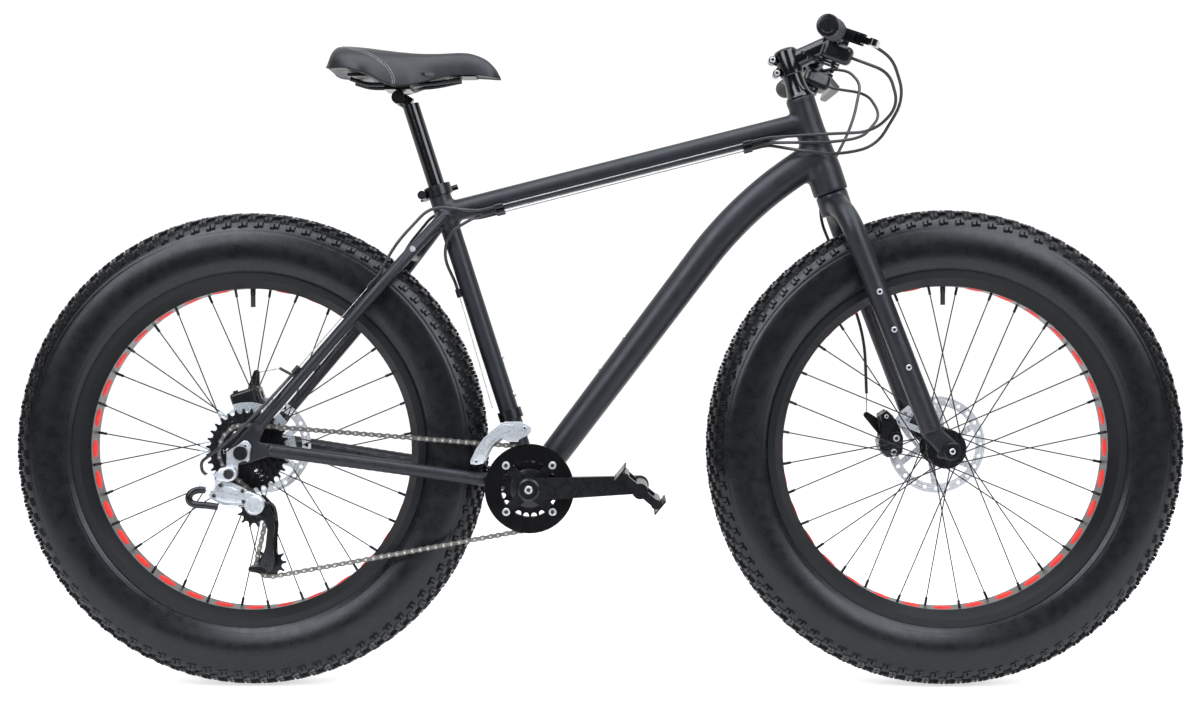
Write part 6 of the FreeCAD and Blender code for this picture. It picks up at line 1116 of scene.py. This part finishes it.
def stem():
    part = bmesh.new()
    add_turned(part, STEER_FOOT, STEER_AXIS, STEM_PROFILE_MM, sides=64)
    start = STEER_FOOT + STEER_AXIS * mm(NECK_START_MM)
    ahead = (BAR_MIDDLE - start).normalized()
    above = Vector((-ahead.z, 0, ahead.x))
    reach = (BAR_MIDDLE - start).length * 1000
    neck = ((6, 0), (6, NECK_MM + 1), (reach * 0.4, NECK_MM), (reach - 14, NECK_MM - 0.6), (reach - 14, 0))
    add_turned(part, start, ahead, neck, sides=48)
    add_turned(part, BAR_MIDDLE, (0, 1, 0), BAR_CLAMP_MM, sides=64, ring=True)
    for rise in (-FACE_BOLT_RISE_MM, FACE_BOLT_RISE_MM):
        for side in (-FACE_BOLT_SET_MM, FACE_BOLT_SET_MM):
            spot = BAR_MIDDLE + above * mm(rise) + Vector((0, mm(side), 0))
            add_turned(part, spot, ahead, FACE_LUG_MM, sides=24)
            add_bolt(part, spot + ahead * mm(10), ahead, *FACE_BOLT_MM, material=1, socket=2)
    for lug in solid_middles("stem", is_bolt):
        spot = Vector((lug.x, 0, lug.z))
        add_turned(part, spot, (0, 1, 0), PINCH_LUG_MM)
        add_turned(part, spot, start - spot, PINCH_WEB_MM, sides=24)
        bolt = spot - Vector((0, mm(PINCH_SET_MM), 0))
        add_bolt(part, bolt, (0, -1, 0), *PINCH_BOLT_MM, material=1, socket=2)
    show("stem_forging", part, "steering", "gloss_black", [GLOSS_PAINT, BOLT_STEEL, DARK_PARTS_AND_HOLE_SHADE], "stem")


stem()


# Grips: ribbed rubber sleeves with an inner flange and a capped end

GRIP_FLANGE_MM = 17.4
GRIP_BODY_MM = 15.4
GRIP_RIB_MM = 16.3
RIB_PITCH_MM = 4.2
# The ribs run between these distances from the grip's two ends
RIBS_START_MM = 9
RIBS_STOP_MM = 14
# One rib, from its start, and the plastic cap, from the grip's outer end: distance along the grip and radius
GRIP_RIB_LINE_MM = ((0, GRIP_BODY_MM), (0.7, GRIP_RIB_MM), (2.2, GRIP_RIB_MM), (2.9, GRIP_BODY_MM))
GRIP_CAP_LINE_MM = ((-13, GRIP_BODY_MM), (-12, 16.6), (-3, 16.6), (-0.8, 15.6), (0, 13.6), (0, 10.6),
                    (-1, 9.6), (-1, 0))
CAP_SPANS = 5


def grip(part, corners):
    """Add one grip along the axis of its CAD solid."""
    centre = corners.mean(axis=0)
    axis = np.linalg.svd(corners - centre, full_matrices=False)[2][0]
    axis = axis * math.copysign(1, axis[1] * centre[1])
    along = (corners - centre) @ axis * 1000
    low, high = along.min(), along.max()
    profile = [(low, 0), (low, GRIP_FLANGE_MM), (low + 5, GRIP_FLANGE_MM), (low + 6, GRIP_BODY_MM)]
    rib = low + RIBS_START_MM
    while rib + RIB_PITCH_MM < high - RIBS_STOP_MM:
        profile += [(rib + ahead, radius) for ahead, radius in GRIP_RIB_LINE_MM]
        rib += RIB_PITCH_MM
    profile += [(high + ahead, radius) for ahead, radius in GRIP_CAP_LINE_MM]
    materials = (0,) * (len(profile) - 1 - CAP_SPANS) + (1,) * CAP_SPANS
    add_turned(part, Vector(centre), Vector(axis), profile, materials, sides=48)


def grips():
    part = bmesh.new()
    mesh = NODES["grips"].data
    for group in islands(mesh):
        grip(part, corners_of(mesh, group))
    show("ribbed_grips", part, "steering", "grip_rubber", [GRIP_RUBBER, POD_PLASTIC], "grips")


grips()


# Saddle: a padded cover lofted from its side view, with two rows of stitches round the seat's rear

# Share along the saddle from its tail, and the height above its lowest edge or the half width there
SADDLE_CREST_MM = ((0.0, 33.0), (0.012, 46.0), (0.035, 63.0), (0.083, 69.5), (0.2, 67.5), (0.315, 64.0),
                   (0.43, 60.8), (0.54, 58.8), (0.65, 58.8), (0.766, 60.0), (0.84, 57.5), (0.916, 48.5),
                   (0.97, 34.3), (1.0, 19.8))
SADDLE_FOOT_MM = ((0.0, 31.0), (0.03, 27.5), (0.128, 26.0), (0.24, 17.7), (0.33, 5.8), (0.39, 0.4),
                  (0.44, 0.0), (0.51, 4.2), (0.616, 12.5), (0.69, 18.3), (0.8, 21.2), (0.916, 19.8),
                  (1.0, 16.5))
SADDLE_HALF_MM = ((0.0, 46.0), (0.03, 60.0), (0.08, 70.0), (0.15, 77.5), (0.22, 80.5), (0.3, 76.0),
                  (0.4, 60.0), (0.5, 43.0), (0.6, 32.5), (0.7, 27.5), (0.8, 24.5), (0.9, 21.5),
                  (0.96, 16.5), (1.0, 7.0))
SEAM_MM = ((0.06, 68.5), (0.165, 60.3), (0.255, 51.0), (0.315, 41.6), (0.36, 31.2), (0.388, 18.7),
           (0.398, 8.3), (0.397, 1.5))
SADDLE_RINGS = 150
SADDLE_RING_STEPS = 60
SADDLE_FLATNESS = 2.5
SADDLE_SHOULDER = 2.0
# The lip under the cover's edge: its rise, and its width as a share of the edge's
SADDLE_LIP_MM = 1.5
SADDLE_LIP_SHARE = 0.9
SEAM_DEPTH_MM = 0.9
SEAM_REACH_MM = 3.0
STITCH_STEP_MM = 4.2
STITCH_LENGTH_MM = 3.0
STITCH_RADIUS_MM = 0.38
STITCH_APART_MM = 3.0
STITCH_SIDES = 6
# A stitch's rings: share of its length and of its radius
STITCH_RINGS = ((0.0, 0.5), (0.2, 1.0), (0.8, 1.0), (1.0, 0.5))


def fine_line(line):
    """Return a smooth line's shares and values, ready to be read between."""
    return np.array([tuple(point) for point in smooth_line(line, 12)]).T


SADDLE_CREST = fine_line(SADDLE_CREST_MM)
SADDLE_FOOT = fine_line(SADDLE_FOOT_MM)
SADDLE_HALF = fine_line(SADDLE_HALF_MM)
SADDLE_LOW, SADDLE_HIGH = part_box("saddle_cover")
SADDLE_LENGTH = SADDLE_HIGH.x - SADDLE_LOW.x


def read_line(line, share):
    return float(np.interp(share, line[0], line[1]))


def saddle_point(share, turn):
    """Return a place on the cover: turn runs from the right edge over the top to the left edge, 0 to 1."""
    crest = mm(read_line(SADDLE_CREST, share))
    foot = mm(read_line(SADDLE_FOOT, share))
    half = mm(read_line(SADDLE_HALF, share))
    angle = math.pi * turn
    across = -math.cos(angle)
    rise = math.sin(angle)
    side = math.copysign(abs(across) ** (2 / SADDLE_FLATNESS), across)
    level = SADDLE_LOW.z + foot + (crest - foot) * rise ** (2 / SADDLE_SHOULDER)
    return Vector((SADDLE_LOW.x + SADDLE_LENGTH * share, half * side, level))


def turn_at_height(share, height_mm):
    """Return the turn at which the cover's right side has a height above the saddle's lowest edge."""
    crest = read_line(SADDLE_CREST, share)
    foot = read_line(SADDLE_FOOT, share)
    rise = min(max((height_mm - foot) / (crest - foot), 0.0), 1.0)
    return math.asin(rise ** (SADDLE_SHOULDER / 2)) / math.pi


def seam_places(offset_mm):
    """Return places along the right seam on the cover, moved forward by an offset."""
    fine = smooth_line(SEAM_MM, 24)
    places = []
    for before, point, after in zip(fine, fine[1:], fine[2:]):
        along = Vector(((after.x - before.x) * SADDLE_LENGTH / mm(1), after.y - before.y)).normalized()
        share = point.x - along.y * mm(offset_mm) / SADDLE_LENGTH
        places.append(saddle_point(share, turn_at_height(share, point.y + along.x * offset_mm)))
    return places


def spaced(places, step):
    """Return points that far apart along a line, each with the line's direction there."""
    result = []
    left = 0.0
    for start, end in zip(places, places[1:]):
        run = (end - start).length
        while left < run:
            result.append((start.lerp(end, left / run), (end - start).normalized()))
            left += step
        left -= run
    return result


def saddle_cover():
    points, faces = [], []
    seam = np.array([tuple(place) for place in seam_places(0.0)])
    row = SADDLE_RING_STEPS + 3
    for ring in range(SADDLE_RINGS):
        share = ring / (SADDLE_RINGS - 1)
        line = [saddle_point(share, step / SADDLE_RING_STEPS) for step in range(SADDLE_RING_STEPS + 1)]
        middle_of_ring = Vector((line[0].x, 0, (line[0].z + line[SADDLE_RING_STEPS // 2].z) / 2))
        for spot in line:
            gap = np.linalg.norm(seam - (spot.x, -abs(spot.y), spot.z), axis=1).min()
            dip = mm(SEAM_DEPTH_MM) * max(0.0, 1 - gap / mm(SEAM_REACH_MM)) ** 2
            points.append(spot + (middle_of_ring - spot).normalized() * dip)
        for spot in (line[-1], line[0]):
            points.append(Vector((spot.x, spot.y * SADDLE_LIP_SHARE, spot.z + mm(SADDLE_LIP_MM))))
    for ring in range(SADDLE_RINGS - 1):
        here = ring * row
        there = here + row
        for step in range(row):
            after = (step + 1) % row
            faces.append((here + step, here + after, there + after, there + step))
    faces.append(tuple(range(row)))
    faces.append(tuple(reversed(range((SADDLE_RINGS - 1) * row, SADDLE_RINGS * row))))
    mesh = mesh_of("padded_saddle_cover", points, faces)
    cover = piece("padded_saddle_cover", mesh, "seat", [COVER], "saddle_cover")


def stitch(start, end, points, faces):
    """Add one stitch, a short rod with narrowed ends."""
    along = (end - start).normalized()
    first = along.orthogonal().normalized()
    spokes = round_about(first, along.cross(first), STITCH_SIDES)
    base = len(points)
    for share, size in STITCH_RINGS:
        spot = start.lerp(end, share)
        points.extend(spot + spoke * mm(STITCH_RADIUS_MM) * size for spoke in spokes)
    last = base + (len(STITCH_RINGS) - 1) * STITCH_SIDES
    for here in range(base, last, STITCH_SIDES):
        for side in range(STITCH_SIDES):
            after = (side + 1) % STITCH_SIDES
            faces.append((here + side, here + after, here + STITCH_SIDES + after, here + STITCH_SIDES + side))
    faces.append(tuple(base + side for side in reversed(range(STITCH_SIDES))))
    faces.append(tuple(last + side for side in range(STITCH_SIDES)))


def stitches():
    points, faces = [], []
    for offset in (-STITCH_APART_MM / 2, STITCH_APART_MM / 2):
        for place, along in spaced(seam_places(offset), mm(STITCH_STEP_MM)):
            for side in (-1, 1):
                spot = Vector((place.x, -side * place.y, place.z))
                heading = Vector((along.x, -side * along.y, along.z)) * mm(STITCH_LENGTH_MM / 2)
                stitch(spot - heading, spot + heading, points, faces)
    piece("saddle_stitches", mesh_of("saddle_stitches", points, faces), "seat", [THREAD])


saddle_cover()
stitches()


# Floor, light and camera

# The floor is a sheet of paper that ends this far in front of the bike and reaches this far elsewhere
PAPER_FRONT = -1.3
PAPER_REACH = 40
PAPER_GLOW = 0.62
# The room's glow grows from front to back, between these two directions along Y
ROOM_DIRECTIONS = (-0.2, 0.45)
ROOM_GLOW = (0.12, 1.08)
SOFTBOX_COLOUR = (0.86, 0.92, 1.0)
# The photograph's camera
CAMERA_PLACE = Vector((0.0571, -2.75, 0.6025))
CAMERA_YAW = math.radians(-1.08)
CAMERA_PITCH = math.radians(-1.26)
CAMERA_ROLL = math.radians(-0.18)
CAMERA_LENS_MM = 50.7
SENSOR_WIDTH_MM = 36.0


def paper_floor():
    corners = [(-PAPER_REACH, PAPER_FRONT, 0), (PAPER_REACH, PAPER_FRONT, 0), (PAPER_REACH, PAPER_REACH, 0),
               (-PAPER_REACH, PAPER_REACH, 0)]
    floor = bpy.data.objects.new("floor", mesh_of("floor", corners, [(0, 1, 2, 3)]))
    bpy.context.scene.collection.objects.link(floor)
    # Uncoated paper, lit from below as well: pale and without shine
    paper = finish("pale_paper_floor", "#cfcfcf", "#d3d3d3", (0.7, 0.8), 400.0, 3.0, 0.01,
                   Emission_Color=shade("#ffffff"), Emission_Strength=PAPER_GLOW)
    floor.data.materials.append(paper)


def room():
    world = bpy.data.worlds.new("studio")
    bpy.context.scene.world = world
    world.use_nodes = True
    tree = world.node_tree
    sky = add(tree, "SeparateXYZ", {"Vector": add(tree, "TexCoord").outputs["Generated"]}).outputs["Y"]
    glow = add(tree, "MapRange", {"Value": sky,
                                  "From Min": ROOM_DIRECTIONS[0], "From Max": ROOM_DIRECTIONS[1],
                                  "To Min": ROOM_GLOW[0], "To Max": ROOM_GLOW[1]},
               interpolation_type="SMOOTHSTEP").outputs["Result"]
    tree.links.new(glow, tree.nodes["Background"].inputs["Strength"])
    tree.nodes["Background"].inputs["Color"].default_value = (1.0, 1.0, 1.0, 1.0)


def softbox(name, place, target, width, height, power):
    lamp = bpy.data.lights.new(name, "AREA")
    lamp.shape = "RECTANGLE"
    lamp.size = width
    lamp.size_y = height
    lamp.energy = power
    lamp.color = SOFTBOX_COLOUR
    holder = bpy.data.objects.new(name, lamp)
    holder.location = place
    holder.rotation_euler = (Vector(target) - Vector(place)).to_track_quat("-Z", "Y").to_euler()
    bpy.context.scene.collection.objects.link(holder)


def camera():
    """Put the camera where the photograph was taken from."""
    level = math.cos(CAMERA_PITCH)
    ahead = Vector((math.sin(CAMERA_YAW) * level, math.cos(CAMERA_YAW) * level, math.sin(CAMERA_PITCH)))
    right = Vector((math.cos(CAMERA_YAW), -math.sin(CAMERA_YAW), 0))
    up = right.cross(ahead)
    tilted_right = right * math.cos(CAMERA_ROLL) + up * math.sin(CAMERA_ROLL)
    tilted_up = up * math.cos(CAMERA_ROLL) - right * math.sin(CAMERA_ROLL)
    lens = bpy.data.cameras.new("camera")
    lens.lens = CAMERA_LENS_MM
    lens.sensor_width = SENSOR_WIDTH_MM
    lens.sensor_fit = "HORIZONTAL"
    holder = bpy.data.objects.new("camera", lens)
    turn = Matrix((tilted_right, tilted_up, -ahead)).transposed()
    holder.matrix_world = Matrix.Translation(CAMERA_PLACE) @ turn.to_4x4()
    bpy.context.scene.collection.objects.link(holder)
    bpy.context.scene.camera = holder


paper_floor()
room()
softbox("overhead", (0.1, -0.6, 2.8), (0.0, 0.0, 0.5), 4.2, 1.8, 130)
softbox("upper_left", (-1.9, -2.7, 2.4), (-0.5, 0.0, 0.6), 1.9, 2.8, 125)
softbox("upper_right", (2.1, -2.7, 2.4), (0.6, 0.0, 0.6), 2.2, 2.8, 135)
camera()
bpy.context.scene.view_settings.view_transform = "Standard"
